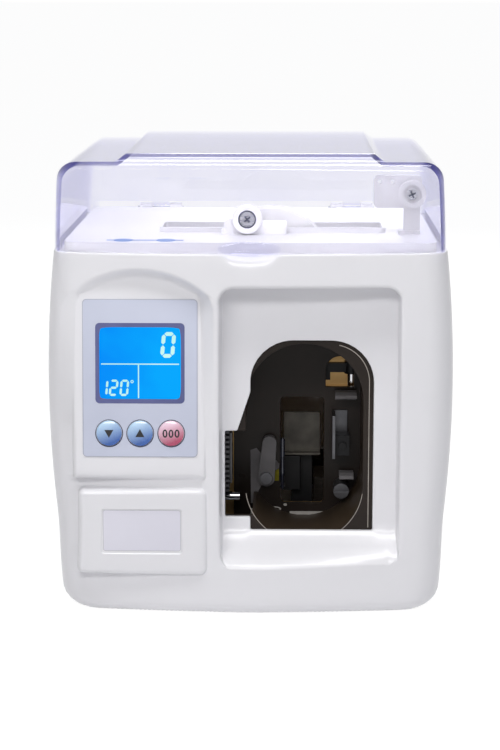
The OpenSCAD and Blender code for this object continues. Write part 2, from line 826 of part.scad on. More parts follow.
// White bracket that carries the knob in front of the roll
module retainer_bracket() {
  y0 = bracket_y - bracket_half;
  y1 = bracket_y + bracket_half;
  base_t = 2.5;
  roll_r_x = 4;
  lobe_r = 4.5;
  lobe_z = deck_top_z + 5;
  color("white") difference() {
    union() {
      block(knob_x - 16, y0, deck_top_z, knob_x + 24, y1, deck_top_z + base_t);
      // Half barrel at the right and lobe at the left
      bar_x(knob_x + 8, knob_x + 24, bracket_y, deck_top_z + roll_r_x, roll_r_x);
      bar(knob_x - 10, lobe_z, lobe_r, y0, y1);
      // Web up to the knob
      prism(y0, y1 - over) polygon([[knob_x - 12, deck_top_z], [knob_x + 12, deck_top_z],
        [knob_x + 6, knob_z], [knob_x - 6, knob_z]]);
      bar(knob_x, knob_z, 6, y0, y1 - over);
    }
    bar(knob_x, knob_z, knob_screw_r, y0 - over, y1 + over);
    for (x = bracket_holes) bar_z(x, bracket_y + 1, bracket_hole_r, deck_top_z - over,
      deck_top_z + base_t - 0.5);
  }
}

// Knob that turns on its screw and keeps the roll in place
module retainer_knob() {
  counterbore_r = 4.8;
  y0 = knob_back_y - knob_t;
  color("white") difference() {
    bar(knob_x, knob_z, knob_r, y0, knob_back_y);
    bar(knob_x, knob_z, knob_screw_r + fit, y0 - over, knob_back_y + over);
    bar(knob_x, knob_z, counterbore_r, y0 - over, y0 + 2);
  }
}

module knob_screw() {
  head_y = knob_back_y - knob_t + 2;
  nut_y = bracket_y + bracket_half - over + press;
  head_r = 4.4;
  nut_r = 3.8;
  key_socket_r = 2.2;
  color("gray") difference() {
    union() {
      bar(knob_x, knob_z, knob_screw_r - press, head_y - over, nut_y + 1.5);
      bar(knob_x, knob_z, head_r, head_y - 2.5, head_y - seat);
      bar(knob_x, knob_z, nut_r, nut_y, nut_y + 2.4);
    }
    translate([knob_x, head_y - 3, knob_z]) rotate([-90, 0, 0])
      cylinder(r = key_socket_r, h = 2, $fn = 6);
  }
}

// Post, arm and ring at the right of the deck
module side_bracket() {
  ring_r = 8.7;
  pocket_r = 5.7;
  screw_hole_r = 1.8;
  arm_hole_r = 1.4;
  y1 = side_y + side_t;
  color("white") difference() {
    union() {
      block(side_x - 5, side_y, deck_top_z, side_x + 5, y1, side_z);
      prism(side_y, y1) rounded(side_x - 23.5, side_z - 8.5, side_x + 6, side_z + 11.5, 3);
      bar(side_x, side_z, ring_r, side_y - 2, y1);
      block(side_x - 8, side_y - 4, deck_top_z, side_x + 5, side_y + 8, deck_top_z + 2);
    }
    bar(side_x, side_z, pocket_r, side_y - 3, side_y - 0.5);
    bar(side_x, side_z, screw_hole_r, side_y - 3, y1 + over);
    for (x = [side_x - 20, side_x - 12]) bar(x, side_z + 7.5, arm_hole_r, side_y - over, y1 + over);
  }
}

module bracket_screw() {
  head_r = 3.5;
  head_y = side_y - 2.4;
  color("silver") difference() {
    union() {
      bar(side_x, side_z, 1.8 - press, side_y - over, side_y + side_t + 2);
      bar(side_x, side_z, head_r, head_y, side_y - 0.5 - press);
    }
    for (a = [0, 90]) translate([side_x, head_y - 0.6, side_z]) rotate([0, a, 0])
      block(-2.2, 0, -0.4, 2.2, 1.4, 0.4);
  }
}

module paper_roll() {
  color("wheat") difference() {
    bar(roll_x, roll_z, roll_r, tape_y0, tape_y1);
    bar(roll_x, roll_z, core_r, tape_y0 - over, tape_y1 + over);
  }
}

// Hub pressed into the roll's core, with a flange behind it
module reel_hub() {
  flange_t = 1.5;
  hole_r = 3.2;
  color("white") difference() {
    union() {
      bar(roll_x, roll_z, core_r - press, tape_y0, tape_y1);
      bar(roll_x, roll_z, core_r + 6, tape_y1 + press, tape_y1 + flange_t);
    }
    bar(roll_x, roll_z, axle_r + fit, tape_y0 - over, tape_y1 + 2 * over);
    // Lightening holes between the spokes
    for (a = [0:60:300]) translate([roll_x, 0, roll_z]) rotate([0, a, 0])
      bar((core_r + axle_r) / 2, 0, hole_r, tape_y0 - over, tape_y1 + 2 * over);
  }
}

module reel_axle() {
  color("silver") {
    bar(roll_x, roll_z, axle_r, tape_y0 - 1.5, mech_back_y + 2);
    bar(roll_x, roll_z, axle_r + 2.5, tape_y1 + 2, mech_y - press);
  }
}

// Dark sheet behind the window, with the oval of the track cut out
module track_front_plate() {
  color("dimgray") difference() {
    prism(throat_y, track_y0) rounded(recess_x0 - 2, track_z0 - track_r - 6,
      recess_x1 - 2, track_z1 + track_r + 8, 5);
    prism(throat_y - over, track_y0 + over) {
      track_outline(-0.5);
      rounded(recess_x0 + 0.5, window_z0 + 8.5, track_cx, window_z0 + notch_h + 7.5, 1);
    }
  }
}

// Oval rail that the tape is shot round, open in front of the sealing head
module track_rail() {
  x = track_cx - track_r;
  color("darkgray") difference() {
    prism(track_y0, back_plate_y) track_outline(track_wall);
    prism(track_y0 - over, back_plate_y + over) track_outline(0);
    block(x - 6, track_y0 - over, head_z - heater_h / 2 - 6, x + 6, back_plate_y + over,
      head_z + heater_h / 2 + 10);
  }
}

// Arched hole behind the track, from which the guide finger looks out
module arch_hole(y0, y1) {
  r = 9;
  x = track_cx + 23;
  z0 = track_z1 - 4;
  spring_z = z0 + 11;
  prism(y0, y1) {
    translate([x - r, z0]) square([2 * r, spring_z - z0]);
    translate([x, spring_z]) circle(r = r);
  }
}

module view_outline() {
  rounded(view_x0, view_z0, view_x1, view_z1, 3);
}

module track_back_plate() {
  plate_left = 45;
  plate_right = 48;
  plate_margin = 6;
  color("darkslategray") difference() {
    union() {
      prism(back_plate_y, mech_y) rounded(track_cx - plate_left, track_z0 - track_r - plate_margin,
        track_cx + plate_right, track_z1 + track_r + plate_margin, 4);
      // Tongue that carries the tape chute
      block(feed_line_x - 6, back_plate_y, head_z + rod_z + 9, track_cx - 40, mech_y,
        feed_z - feed_r - 2);
    }
    prism(back_plate_y - over, mech_y + over) view_outline();
    arch_hole(back_plate_y - over, mech_y + over);
    bar(pinch_x, feed_z, boss_r + gap, back_plate_y - over, mech_y + over);
    for (p = pin_places) bar(p[0], p[1], pin_r + fit, back_plate_y - over, mech_y + over);
  }
}

// Steel plate across the housing that carries the shafts and motors
module mechanism_plate() {
  half = base_half - 3;
  z0 = floor_z + sheet_t;
  foot_flange = 14;
  color("silver") difference() {
    union() {
      block(-half, mech_y, z0, half, mech_back_y, deck_plate_z - 4);
      block(-half, mech_y, z0, half, mech_back_y + foot_flange, z0 + sheet_t);
      for (p = shaft_places) bar(p[0], p[1], boss_r, mech_y - 3, mech_back_y);
      // Lugs that hold the finger's shaft
      for (z = [finger_z - 22, finger_z + 17])
        block(finger_x - 5, mech_back_y - 0.5, z, finger_x + 5, finger_y + 5, z + 5);
    }
    prism(mech_y - over, mech_back_y + over) view_outline();
    arch_hole(mech_y - over, mech_back_y + over);
    for (p = shaft_places) bar(p[0], p[1], shaft_r + fit, mech_y - 3 - over, mech_back_y + over);
    bar(roll_x, roll_z, axle_r, mech_y - over, mech_back_y + over);
    for (p = pin_places) bar(p[0], p[1], pin_r + fit, mech_y - over, mech_back_y + over);
    bar_z(finger_x, finger_y, finger_r, finger_z - 23, finger_z + 23);
  }
}

// Plate that the notes are pushed against, on its shelf and bracket
stop_y = mech_back_y + 25.5;
shelf_z = window_z0 + 25.5;
shelf_depth = 8;
module note_stop() {
  x0 = view_x0 + 2;
  w = 24;
  t = 1.5;
  color("gainsboro") {
    block(x0, stop_y - t, shelf_z + t, x0 + w, stop_y, shelf_z + 27.5);
    block(x0, stop_y - shelf_depth, shelf_z, x0 + w, stop_y, shelf_z + t);
  }
}

module stop_bracket() {
  x0 = view_x0 + 7;
  w = 14;
  z0 = floor_z + sheet_t;
  color("dimgray") {
    block(x0, stop_y, z0, x0 + w, stop_y + sheet_t, shelf_z + 24.5);
    block(x0, stop_y, z0, x0 + w, stop_y + 16, z0 + sheet_t);
    // Block that carries the shelf
    block(x0 - 6, stop_y - shelf_depth, window_z0 + 2, x0 + 6, stop_y, shelf_z - 0.5);
  }
}

// Points of a cubic curve, and the same moved sideways by d
function bez(p, t) = pow(1 - t, 3) * p[0] + 3 * t * pow(1 - t, 2) * p[1]
  + 3 * t * t * (1 - t) * p[2] + pow(t, 3) * p[3];
function tangent(p, t) = let (d = bez(p, min(t + 0.01, 1)) - bez(p, max(t - 0.01, 0))) d / norm(d);
function side_line(p, d, n) = [for (i = [0:n]) let (t = i / n, q = bez(p, t), u = tangent(p, t))
  [q[0] - d * u[1], q[1] + d * u[0]]];
function flip(v) = [for (i = [len(v) - 1:-1:0]) v[i]];

// Two curved sheets that lead the tape from the feed rollers to the track
module tape_chute() {
  x1 = track_cx - track_r - 6.5;
  z0 = feed_z - feed_r - 3;
  z1 = head_z + heater_h / 2 + 12;
  mid_z = (z0 + z1) / 2;
  path = [[feed_line_x, z0], [feed_line_x, mid_z], [x1, mid_z], [x1, z1]];
  near = 1.2;
  far = 2.4;
  color("silver") for (s = [-1, 1]) prism(tape_y0 - 1, back_plate_y)
    polygon(concat(side_line(path, s * near, 12), flip(side_line(path, s * far, 12))));
}

module finger_shaft() {
  color("silver") bar_z(finger_x, finger_y, finger_r - press / 2, finger_z - 22, finger_z + 22);
}

module guide_finger() {
  hub_r = 5;
  hub_h = 8;
  x0 = finger_x - 19;
  y0 = finger_y - 3;
  y1 = finger_y + 2;
  color("dimgray") difference() {
    union() {
      bar_z(finger_x, finger_y, hub_r, finger_z, finger_z + hub_h);
      block(x0, y0, finger_z + 1, finger_x - 3, y1, finger_z + hub_h - 1);
      block(x0, y0, finger_z - 4, x0 + 5, y1, finger_z + 3);
    }
    bar_z(finger_x, finger_y, finger_r + fit, finger_z - over, finger_z + hub_h + over);
  }
}

module press_lever() {
  t = 6;
  y1 = back_plate_y - gap;
  y0 = y1 - t;
  eye_r = 5.5;
  tip_r = 4.5;
  tip = [lever_x + 2, lever_z + 23];
  color("gray") difference() {
    union() {
      bar(lever_x, lever_z, eye_r, y0, y1);
      bar(tip[0], tip[1], tip_r, y0, y1);
      prism(y0, y1) polygon([[lever_x - eye_r, lever_z], [lever_x + eye_r, lever_z],
        [tip[0] + tip_r, tip[1]], [tip[0] - tip_r, tip[1]]]);
    }
    bar(lever_x, lever_z, pin_r + fit, y0 - over, y1 + over);
  }
}

// Pin of the press lever, and the slotted anvil that the tape is pulled round
module anvil_pin() {
  collar_y = back_plate_y - 2 * gap - 6;
  anvil_r = 5;
  anvil_y = back_plate_y - 16;
  color("silver") {
    bar(lever_x, lever_z, pin_r, collar_y - over, mech_back_y);
    bar(lever_x, lever_z, pin_r + 1.5, collar_y - 1.9, collar_y);
    bar(anvil_x, anvil_z, pin_r, back_plate_y - over, mech_back_y);
    difference() {
      bar(anvil_x, anvil_z, anvil_r, anvil_y, back_plate_y);
      block(anvil_x - anvil_r - over, anvil_y - over, anvil_z - 0.6, anvil_x + anvil_r + over,
        anvil_y + 1.5, anvil_z + 0.6);
    }
  }
}

sensor_h = 28;
sheet_thin = 1.5;
module sensor_bracket() {
  color("silver") {
    block(sensor_x - 2, back_plate_y - 20, sensor_z, sensor_x, back_plate_y, sensor_z + sensor_h);
    block(sensor_x - 2, back_plate_y - sheet_thin, sensor_z, sensor_x + 8, back_plate_y,
      sensor_z + sensor_h);
  }
}

module note_sensor() {
  eye_r = 2.5;
  y0 = back_plate_y - 14;
  color("dimgray") {
    block(sensor_x, y0, sensor_z + 1, sensor_x + 9, back_plate_y - sheet_thin, sensor_z + 14);
    bar(sensor_x + 4.5, sensor_z + 7.5, eye_r, y0 - 1.5, y0 + over);
  }
}

// Upright sheet that holds the guide rods of the sealing head
module head_bracket() {
  t = 3;
  z0 = head_z - rod_z - 8;
  z1 = head_z + rod_z + 8;
  fork_room = cam_t / 2 + 4;
  fork_half = 4 + 2 * gap;
  color("silver") difference() {
    union() {
      block(bracket_x, head_y0, z0, bracket_x + t, mech_y, z1);
      block(bracket_x, mech_y - sheet_t, z0, bracket_x + 12, mech_y, z1);
    }
    for (s = [-1, 1]) bar_x(bracket_x - over, bracket_x + t + over, follower_y, head_z + s * rod_z, rod_r);
    // Opening for the fork of the follower
    block(bracket_x - over, follower_y - fork_room, head_z - fork_half, bracket_x + t + over,
      follower_y + fork_room, head_z + fork_half);
  }
}

module guide_rod() {
  color("silver") for (s = [-1, 1]) bar_x(bracket_x - 2, track_cx - track_r - 4.5, follower_y,
    head_z + s * rod_z, rod_r - press / 2);
}

// Carrier on the guide rods, with the finned block and the fork of the follower
module heater_block() {
  carrier_t = 10;
  fin_x0 = carrier_x + carrier_t + 3;
  fin_depth = 6;
  pitch = heater_h / fin_count;
  fork_half = 4;
  cheek_t = 3;
  cheek = cam_t / 2 + gap + seat;
  color("lightgray") difference() {
    union() {
      block(carrier_x, head_y0 + 2, head_z - rod_z - 6, carrier_x + carrier_t, head_y1 - 2,
        head_z + rod_z + 6);
      block(carrier_x + carrier_t - over, head_y0, head_z - heater_h / 2, head_face_x, head_y1,
        head_z + heater_h / 2);
      // Push rod and fork
      bar_x(follower_x + 9, carrier_x + over, follower_y, head_z, fork_half);
      block(follower_x + follower_r + 1, follower_y - cheek - cheek_t, head_z - fork_half,
        follower_x + 10, follower_y + cheek + cheek_t, head_z + fork_half);
      for (s = [-1, 1]) let (y0 = follower_y + s * (cheek + cheek_t / 2) - cheek_t / 2) {
        block(follower_x, y0, head_z - fork_half, follower_x + 6, y0 + cheek_t, head_z + fork_half);
        bar(follower_x, head_z, fork_half, y0, y0 + cheek_t);
      }
      bar(follower_x, head_z, pinion_shaft_r, follower_y - cheek - over, follower_y + cheek + over);
    }
    for (s = [-1, 1]) bar_x(carrier_x - over, carrier_x + carrier_t + over, follower_y,
      head_z + s * rod_z, rod_r + fit);
    // Slots between the fins
    for (i = [0:fin_count - 2]) let (z = head_z - heater_h / 2 + (i + 0.55) * pitch)
      block(fin_x0, head_y0 - over, z, head_face_x + over, head_y0 + fin_depth, z + pitch / 2);
  }
}

// Plate that seals the tape, and the knife above it
module heater_plate() {
  margin = 4;
  color("gold") block(head_face_x, head_y0 + 7, head_z - heater_h / 2 + margin, head_face_x + 1.6,
    head_y1 - 1, head_z + heater_h / 2 - margin);
}

module knife_blade() {
  x0 = carrier_x + 13;
  z0 = head_z + heater_h / 2;
  color("silver") plan_prism(z0, z0 + 1.2)
    polygon([[x0, head_y0 + 2], [head_face_x, head_y0 + 2], [head_face_x + 4, head_y1], [x0, head_y1]]);
}

module follower_roller() {
  color("gray") difference() {
    bar(follower_x, head_z, follower_r, follower_y - cam_t / 2, follower_y + cam_t / 2);
    bar(follower_x, head_z, pinion_shaft_r + fit, follower_y - cam_t, follower_y + cam_t);
  }
}

// Radius of the cam at angle a: a straight rise, a short overrun, then the fall and a rest
overrun = 20;
rest_a = 310;
function cam_radius(a) = a <= cam_turn + overrun ? cam_base_r + cam_lift * a / cam_turn
  : a < rest_a ? cam_base_r
    + cam_lift * (1 + overrun / cam_turn) * (rest_a - a) / (rest_a - cam_turn - overrun)
  : cam_base_r;

module cam() {
  y0 = follower_y - cam_t / 2;
  y1 = follower_y + cam_t / 2;
  color("gray") {
    prism(y0, y1)
      polygon([for (a = [0:5:355]) let (r = cam_radius(a)) [cam_x + r * cos(a), head_z + r * sin(a)]]);
    bar(cam_x, head_z, 2 * shaft_r, y0 - 3, mech_y - 3 - gap);
    bar(cam_x, head_z, shaft_r, y0 - 5, motor_face_y);
  }
}

// Gear outline: involute flanks, n teeth, with a little backlash
function inv(b, r) = let (t = acos(b / r)) tan(t) * 180 / PI - t;
module gear_outline(n) {
  pitch = gear_m * n / 2;
  base = pitch * cos(20);
  tip = pitch + 0.85 * gear_m;
  root = pitch - 1.15 * gear_m;
  backlash = 2 / n;
  half = 90 / n - backlash;
  flank_r = max(base, root + 0.1);
  flank = [for (i = [0:4]) let (r = flank_r + (tip - flank_r) * i / 4)
    [r, half + inv(base, pitch) - inv(base, r)]];
  side = concat([[root, flank[0][1] + 20 / n]], flank);
  polygon([for (k = [0:n - 1], s = [0:11]) let (
      p = s < 6 ? side[s] : side[11 - s],
      a = 360 * k / n + (s < 6 ? -p[1] : p[1]))
    [p[0] * cos(a), p[0] * sin(a)]]);
}

// Toothed wheel on a shaft along Y, turned so that a tooth points at angle a
module gear(x, z, n, a, hub) {
  difference() {
    union() {
      translate([x, gear_y1, z]) rotate([90, a, 0]) linear_extrude(height = gear_t) gear_outline(n);
      bar(x, z, hub, gear_y0, gear_y1 + 1.5);
    }
    bar(x, z, shaft_r + press / 2, gear_y0 - over, motor_face_y);
  }
}

module cam_gear() { color("white") gear(cam_x, head_z, cam_gear_n, 90, 8); }
module feed_gear() { color("white") gear(feed_x, feed_z, feed_gear_n, 0, 7); }

// Geared motor on three posts behind the plate, which stand round angle a
module motor(x, z, r, len, a) {
  post_r = 2.5;
  cap_h = 4;
  difference() {
    union() {
      bar(x, z, r, motor_face_y, motor_face_y + len);
      bar(x, z, 0.4 * r, motor_face_y + len - over, motor_face_y + len + cap_h);
      for (i = [-1:1]) let (b = a + i * 65)
        bar(x + (r - 3) * cos(b), z + (r - 3) * sin(b), post_r, mech_back_y, motor_face_y + over);
    }
    bar(x, z, pinion_shaft_r + fit, motor_face_y - over, motor_face_y + 6);
  }
}

module cam_motor() { color("slategray") motor(cam_x, cam_motor_z, cam_motor_r, cam_motor_len, 270); }
module feed_motor() { color("slategray") motor(feed_motor_x, feed_z, feed_motor_r, feed_motor_len, 180); }

// Motor pinion with its shaft, a gap between teeth at angle a
module pinion(x, z, a) {
  translate([x, gear_y1, z]) rotate([90, a, 0]) linear_extrude(height = gear_t)
    gear_outline(pinion_n);
  bar(x, z, pinion_shaft_r, gear_y0 - over, motor_face_y + 5);
}

module cam_pinion() { color("goldenrod") pinion(cam_x, cam_motor_z, -90 + 180 / pinion_n); }
module feed_pinion() { color("goldenrod") pinion(feed_motor_x, feed_z, 180 / pinion_n); }

// Rubber-covered roller with its shaft, from the front collar to y1
module roller(x, y1) {
  bar(x, feed_z, feed_r, tape_y0 + 1, tape_y1 - 1);
  bar(x, feed_z, shaft_r, tape_y0 - 2, y1);
}

module feed_roller() { color("dimgray") roller(feed_x, motor_face_y); }
module pinch_roller() { color("dimgray") roller(pinch_x, mech_back_y + 4); }

// Core, windings and foot of the transformer
module transformer() {
  core_w = 48;
  core_h = 44;
  core_t = 34;
  core_back = 36.5;
  core_in = 55;
  y1 = back_y - core_back;
  y0 = y1 - core_t;
  x0 = base_half - core_in;
  x1 = x0 + core_w;
  z0 = floor_z + sheet_t;
  winding = 8;
  foot_w = 4;
  color("darkgoldenrod") {
    block(x0, y0, z0, x1, y1, z0 + core_h);
    block(x0 + winding, y0 - winding, z0 + winding, x1 - winding, y1 + winding,
      z0 + core_h - winding);
    block(x0 - foot_w, y0 + 6, z0, x1 + foot_w, y1 - 6, z0 + sheet_t);
  }
}

// Supply board on four pillars, with two capacitors, a heat sink and a relay
module power_board() {
  board_w = 76;
  board_d = 42;
  stand = 6;
  pillar_r = 3;
  pillar_in = 4;
  cap_r = 6;
  cap_h = 22;
  board_in = 11;
  board_back = 64.5;
  choke_x = 38;
  choke_t = 4;
  choke_in = 6;
  sink_x = 54;
  sink_t = 16;
  sink_in = 12;
  sink_h = 14;
  x0 = -base_half + board_in;
  y0 = back_y - board_back;
  x1 = x0 + board_w;
  y1 = y0 + board_d;
  z0 = floor_z + sheet_t;
  top_z = z0 + stand + board_t;
  color("darkgreen") {
    block(x0, y0, z0 + stand, x1, y1, top_z);
    for (x = [x0 + pillar_in, x1 - pillar_in], y = [y0 + pillar_in, y1 - pillar_in])
      bar_z(x, y, pillar_r, z0, z0 + stand + seat);
    for (x = [x0 + 12, x0 + 26]) bar_z(x, y1 - 14, cap_r, top_z - seat, top_z + cap_h);
    block(x0 + choke_x, y0 + choke_in, top_z - seat, x0 + choke_x + choke_t, y1 - choke_in, top_z + cap_h);
    block(x0 + sink_x, y0 + sink_in, top_z - seat, x0 + sink_x + sink_t, y1 - sink_in, top_z + sink_h);
  }
}

// Outline of the socket or switch opening, grown by g
module socket_outline(g, r) {
  centred(socket_x, socket_z, socket_w + 2 * g, socket_h + 2 * g, r);
}
module switch_outline(g, r) {
  centred(switch_x, socket_z, switch_w + 2 * g, switch_h + 2 * g, r);
}

inner_back_y = back_y - wall;
shell_t = 1.5;
flush = 0.4;
module power_inlet() {
  y0 = inner_back_y - 20;
  pin_half = [1, 2];
  color("dimgray") {
    difference() {
      union() {
        prism(y0, back_y - flush) socket_outline(-2 * seat, 1.8);
        // Flange behind the rear cover
        prism(inner_back_y - 2, inner_back_y) socket_outline(2, 2);
        prism(inner_back_y - 2, inner_back_y) centred(socket_x, socket_z, socket_w + 8, socket_h / 2, 2);
      }
      prism(y0 + 4, back_y + over) socket_outline(-shell_t - 2 * seat, 1.5);
    }
    for (p = [[-7, -1], [0, 3], [7, -1]])
      prism(y0 + 3, back_y - 6) translate([socket_x + p[0], socket_z + p[1]])
        square(2 * pin_half, center = true);
  }
}

rocker_y = back_y - 7;
rocker_r = switch_h / 2 - 2.4;
rocker_half = switch_w / 2 - 2.1;
rocker_pin_r = 1.5;
module power_switch() {
  pin_half = switch_w / 2 - 0.8;
  color("dimgray") difference() {
    union() {
      prism(inner_back_y - 16, back_y - flush) switch_outline(-2 * seat, 0.7);
      prism(inner_back_y - 2, inner_back_y) switch_outline(2, 1);
    }
    prism(inner_back_y - 14, back_y + over) switch_outline(-shell_t - 2 * seat, 0.5);
    bar_x(switch_x - pin_half, switch_x + pin_half, rocker_y, socket_z, rocker_pin_r + fit);
  }
}

// Rocker with a hollow between its two faces
module switch_rocker() {
  tilt = -9;
  back = -4;
  edge = 6.2;
  hollow = 4.6;
  color("black") translate([switch_x, rocker_y, socket_z]) rotate([tilt, 0, 0]) {
    intersection() {
      bar_x(-rocker_half, rocker_half, 0, 0, rocker_r);
      side_prism(-rocker_half - over, rocker_half + over)
        polygon([[back, -rocker_r - over], [edge, -rocker_r - over], [hollow, 0],
          [edge, rocker_r + over], [back, rocker_r + over]]);
    }
    bar_x(-rocker_half - over, rocker_half + over, 0, 0, rocker_pin_r);
  }
}

front_cover();
rear_cover();
base_plate();
foot();
top_deck();
lid();
hinge_pin();
keypad_overlay();
display_bezel();
display_glass();
key_down();
key_up();
key_clear();
control_board();
slot_marker();
retainer_bracket();
retainer_knob();
knob_screw();
side_bracket();
bracket_screw();
paper_roll();
reel_hub();
reel_axle();
track_front_plate();
track_rail();
track_back_plate();
mechanism_plate();
note_stop();
stop_bracket();
tape_chute();
guide_finger();
finger_shaft();
press_lever();
note_sensor();
sensor_bracket();
anvil_pin();
head_bracket();
guide_rod();
heater_block();
heater_plate();
knife_blade();
follower_roller();
cam();
cam_gear();
cam_motor();
cam_pinion();
feed_roller();
feed_gear();
pinch_roller();
feed_motor();
feed_pinion();
transformer();
power_board();
power_inlet();
power_switch();
switch_rocker();
casing_screw();
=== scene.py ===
import bpy
from math import asin, atan, cos, degrees, pi, radians, sin, sqrt, tan
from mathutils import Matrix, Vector
from mathutils.geometry import delaunay_2d_cdt


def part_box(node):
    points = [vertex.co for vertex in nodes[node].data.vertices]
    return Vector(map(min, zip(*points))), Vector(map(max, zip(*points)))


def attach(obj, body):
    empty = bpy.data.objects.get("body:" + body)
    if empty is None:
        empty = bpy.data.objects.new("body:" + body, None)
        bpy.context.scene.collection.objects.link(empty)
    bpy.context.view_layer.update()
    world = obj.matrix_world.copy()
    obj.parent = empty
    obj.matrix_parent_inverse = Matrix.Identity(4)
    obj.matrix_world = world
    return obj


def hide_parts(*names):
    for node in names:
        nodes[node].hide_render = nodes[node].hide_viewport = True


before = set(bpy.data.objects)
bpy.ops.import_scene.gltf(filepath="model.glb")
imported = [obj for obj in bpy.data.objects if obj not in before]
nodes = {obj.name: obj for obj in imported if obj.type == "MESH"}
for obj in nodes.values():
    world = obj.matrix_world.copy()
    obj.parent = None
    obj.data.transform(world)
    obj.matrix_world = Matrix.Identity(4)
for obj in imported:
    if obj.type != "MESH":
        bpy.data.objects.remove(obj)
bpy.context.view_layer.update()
mm = 0.001

# ---------------------------------------------------------------------------
# Table top, backdrop light and camera. The machine stands on a white table in
# a white studio, lit softly from the front and above, and is seen from a
# little above and a little to the right of its middle.
# ---------------------------------------------------------------------------
image_w, image_h = 500, 750
focal_px = 1965                     # focal length in pixels of the image
vanish_x, vanish_y = 292, -10       # where lines running straight back meet
sensor_width = 36.0

studio_camera = bpy.data.cameras.new("camera")
studio_camera.sensor_width = sensor_width
studio_camera.lens = focal_px / image_h * sensor_width
camera = bpy.data.objects.new("camera", studio_camera)
camera_yaw = atan((vanish_x - image_w / 2) / focal_px)
camera_pitch = atan((image_h / 2 - vanish_y) / focal_px)
camera.location = (24.8 * mm, -1256 * mm, 374.6 * mm)
camera.rotation_euler = (pi / 2 - camera_pitch, 0, camera_yaw)
bpy.context.scene.collection.objects.link(camera)
bpy.context.scene.camera = camera
bpy.context.scene.view_settings.view_transform = "Standard"

table_half = 60.0                   # metres, so that no edge of the table is seen
table_glow, glow_share = 1.25, 0.75     # its own white light, and its share of what the camera sees
studio_strength = 0.18              # light of the white room on the machine


def link(obj):
    bpy.context.scene.collection.objects.link(obj)
    return obj


def new_mesh(name, verts, faces):
    data = bpy.data.meshes.new(name)
    data.from_pydata([tuple(v) for v in verts], [], faces)
    data.validate()
    data.update()
    return link(bpy.data.objects.new(name, data))


def new_material(name):
    """A material with nothing in it yet, and the calls that add a node and join two sockets."""
    mat = bpy.data.materials.new(name)
    mat.use_nodes = True
    tree = mat.node_tree
    tree.nodes.clear()
    return mat, tree.nodes.new, tree.links.new


def seen_as_backdrop(add, join):
    """1 for what the camera sees, straight, in a reflection or through clear plastic."""
    path = add("ShaderNodeLightPath")
    total = path.outputs["Is Camera Ray"]
    for ray in ("Is Transmission Ray", "Is Glossy Ray"):
        larger = add("ShaderNodeMath")
        larger.operation = "MAXIMUM"
        join(total, larger.inputs[0])
        join(path.outputs[ray], larger.inputs[1])
        total = larger.outputs[0]
    return total


def make_table():
    corners = [(-table_half, -table_half, 0), (table_half, -table_half, 0),
               (table_half, table_half, 0), (-table_half, table_half, 0)]
    table = new_mesh("table_top", corners, [(0, 1, 2, 3)])
    mat, add, join = new_material("white_table")
    lit = add("ShaderNodeBsdfDiffuse")
    lit.inputs["Color"].default_value = (0.86, 0.86, 0.87, 1)
    glow = add("ShaderNodeEmission")
    glow.inputs["Strength"].default_value = table_glow
    seen = seen_as_backdrop(add, join)
    share = add("ShaderNodeMath")
    share.operation = "MULTIPLY"
    share.inputs[1].default_value = glow_share
    mix = add("ShaderNodeMixShader")
    out = add("ShaderNodeOutputMaterial")
    join(seen, share.inputs[0])
    join(share.outputs[0], mix.inputs[0])
    join(lit.outputs[0], mix.inputs[1])
    join(glow.outputs[0], mix.inputs[2])
    join(mix.outputs[0], out.inputs["Surface"])
    table.data.materials.append(mat)


def make_studio():
    studio = bpy.data.worlds.new("studio")
    bpy.context.scene.world = studio
    studio.use_nodes = True
    studio.node_tree.nodes.clear()
    add, join = studio.node_tree.nodes.new, studio.node_tree.links.new
    seen = seen_as_backdrop(add, join)
    dim = add("ShaderNodeBackground")
    dim.inputs["Color"].default_value = (0.93, 0.94, 1.0, 1)
    dim.inputs["Strength"].default_value = studio_strength
    white = add("ShaderNodeBackground")
    white.inputs["Color"].default_value = (1, 1, 1, 1)
    mix = add("ShaderNodeMixShader")
    out = add("ShaderNodeOutputWorld")
    join(seen, mix.inputs[0])
    join(dim.outputs[0], mix.inputs[1])
    join(white.outputs[0], mix.inputs[2])
    join(mix.outputs[0], out.inputs["Surface"])


def soft_box(name, place, aim, width, height, watts, tint=(1, 1, 1)):
    lamp = bpy.data.lights.new(name, "AREA")
    lamp.shape = "RECTANGLE"
    lamp.size = width
    lamp.size_y = height
    lamp.energy = watts
    lamp.color = tint
    obj = link(bpy.data.objects.new(name, lamp))
    obj.location = place
    obj.rotation_euler = (Vector(aim) - Vector(place)).to_track_quat("-Z", "Y").to_euler()


make_table()
make_studio()
soft_box("key_light", (-0.2, -1.15, 0.80), (0, -0.05, 0.14), 0.8, 0.16, 5.2, (1, 0.99, 0.985))
soft_box("fill_light", (1.2, -1.0, 0.8), (0, 0, 0.12), 0.9, 1.1, 1.8, (0.96, 0.97, 1))
soft_box("top_light", (-0.05, -0.5, 1.25), (0, -0.08, 0.12), 0.8, 0.35, 7.4)
soft_box("back_light", (0.3, 1.4, 0.9), (0, 0.1, 0.15), 1.0, 0.7, 6)

# ---------------------------------------------------------------------------
# Front cover: the white injection-moulded ABS shell that makes the front and
# both sides, with the note recess, the console pocket and the lower pad
# moulded in. The rear cover closes it with four screws.
# ---------------------------------------------------------------------------


def ramp(add, low, high, lo_at=0.3, hi_at=0.7):
    tones = add("ShaderNodeValToRGB")
    tones.color_ramp.elements[0].position = lo_at
    tones.color_ramp.elements[0].color = (*low, 1)
    tones.color_ramp.elements[1].position = hi_at
    tones.color_ramp.elements[1].color = (*high, 1)
    return tones


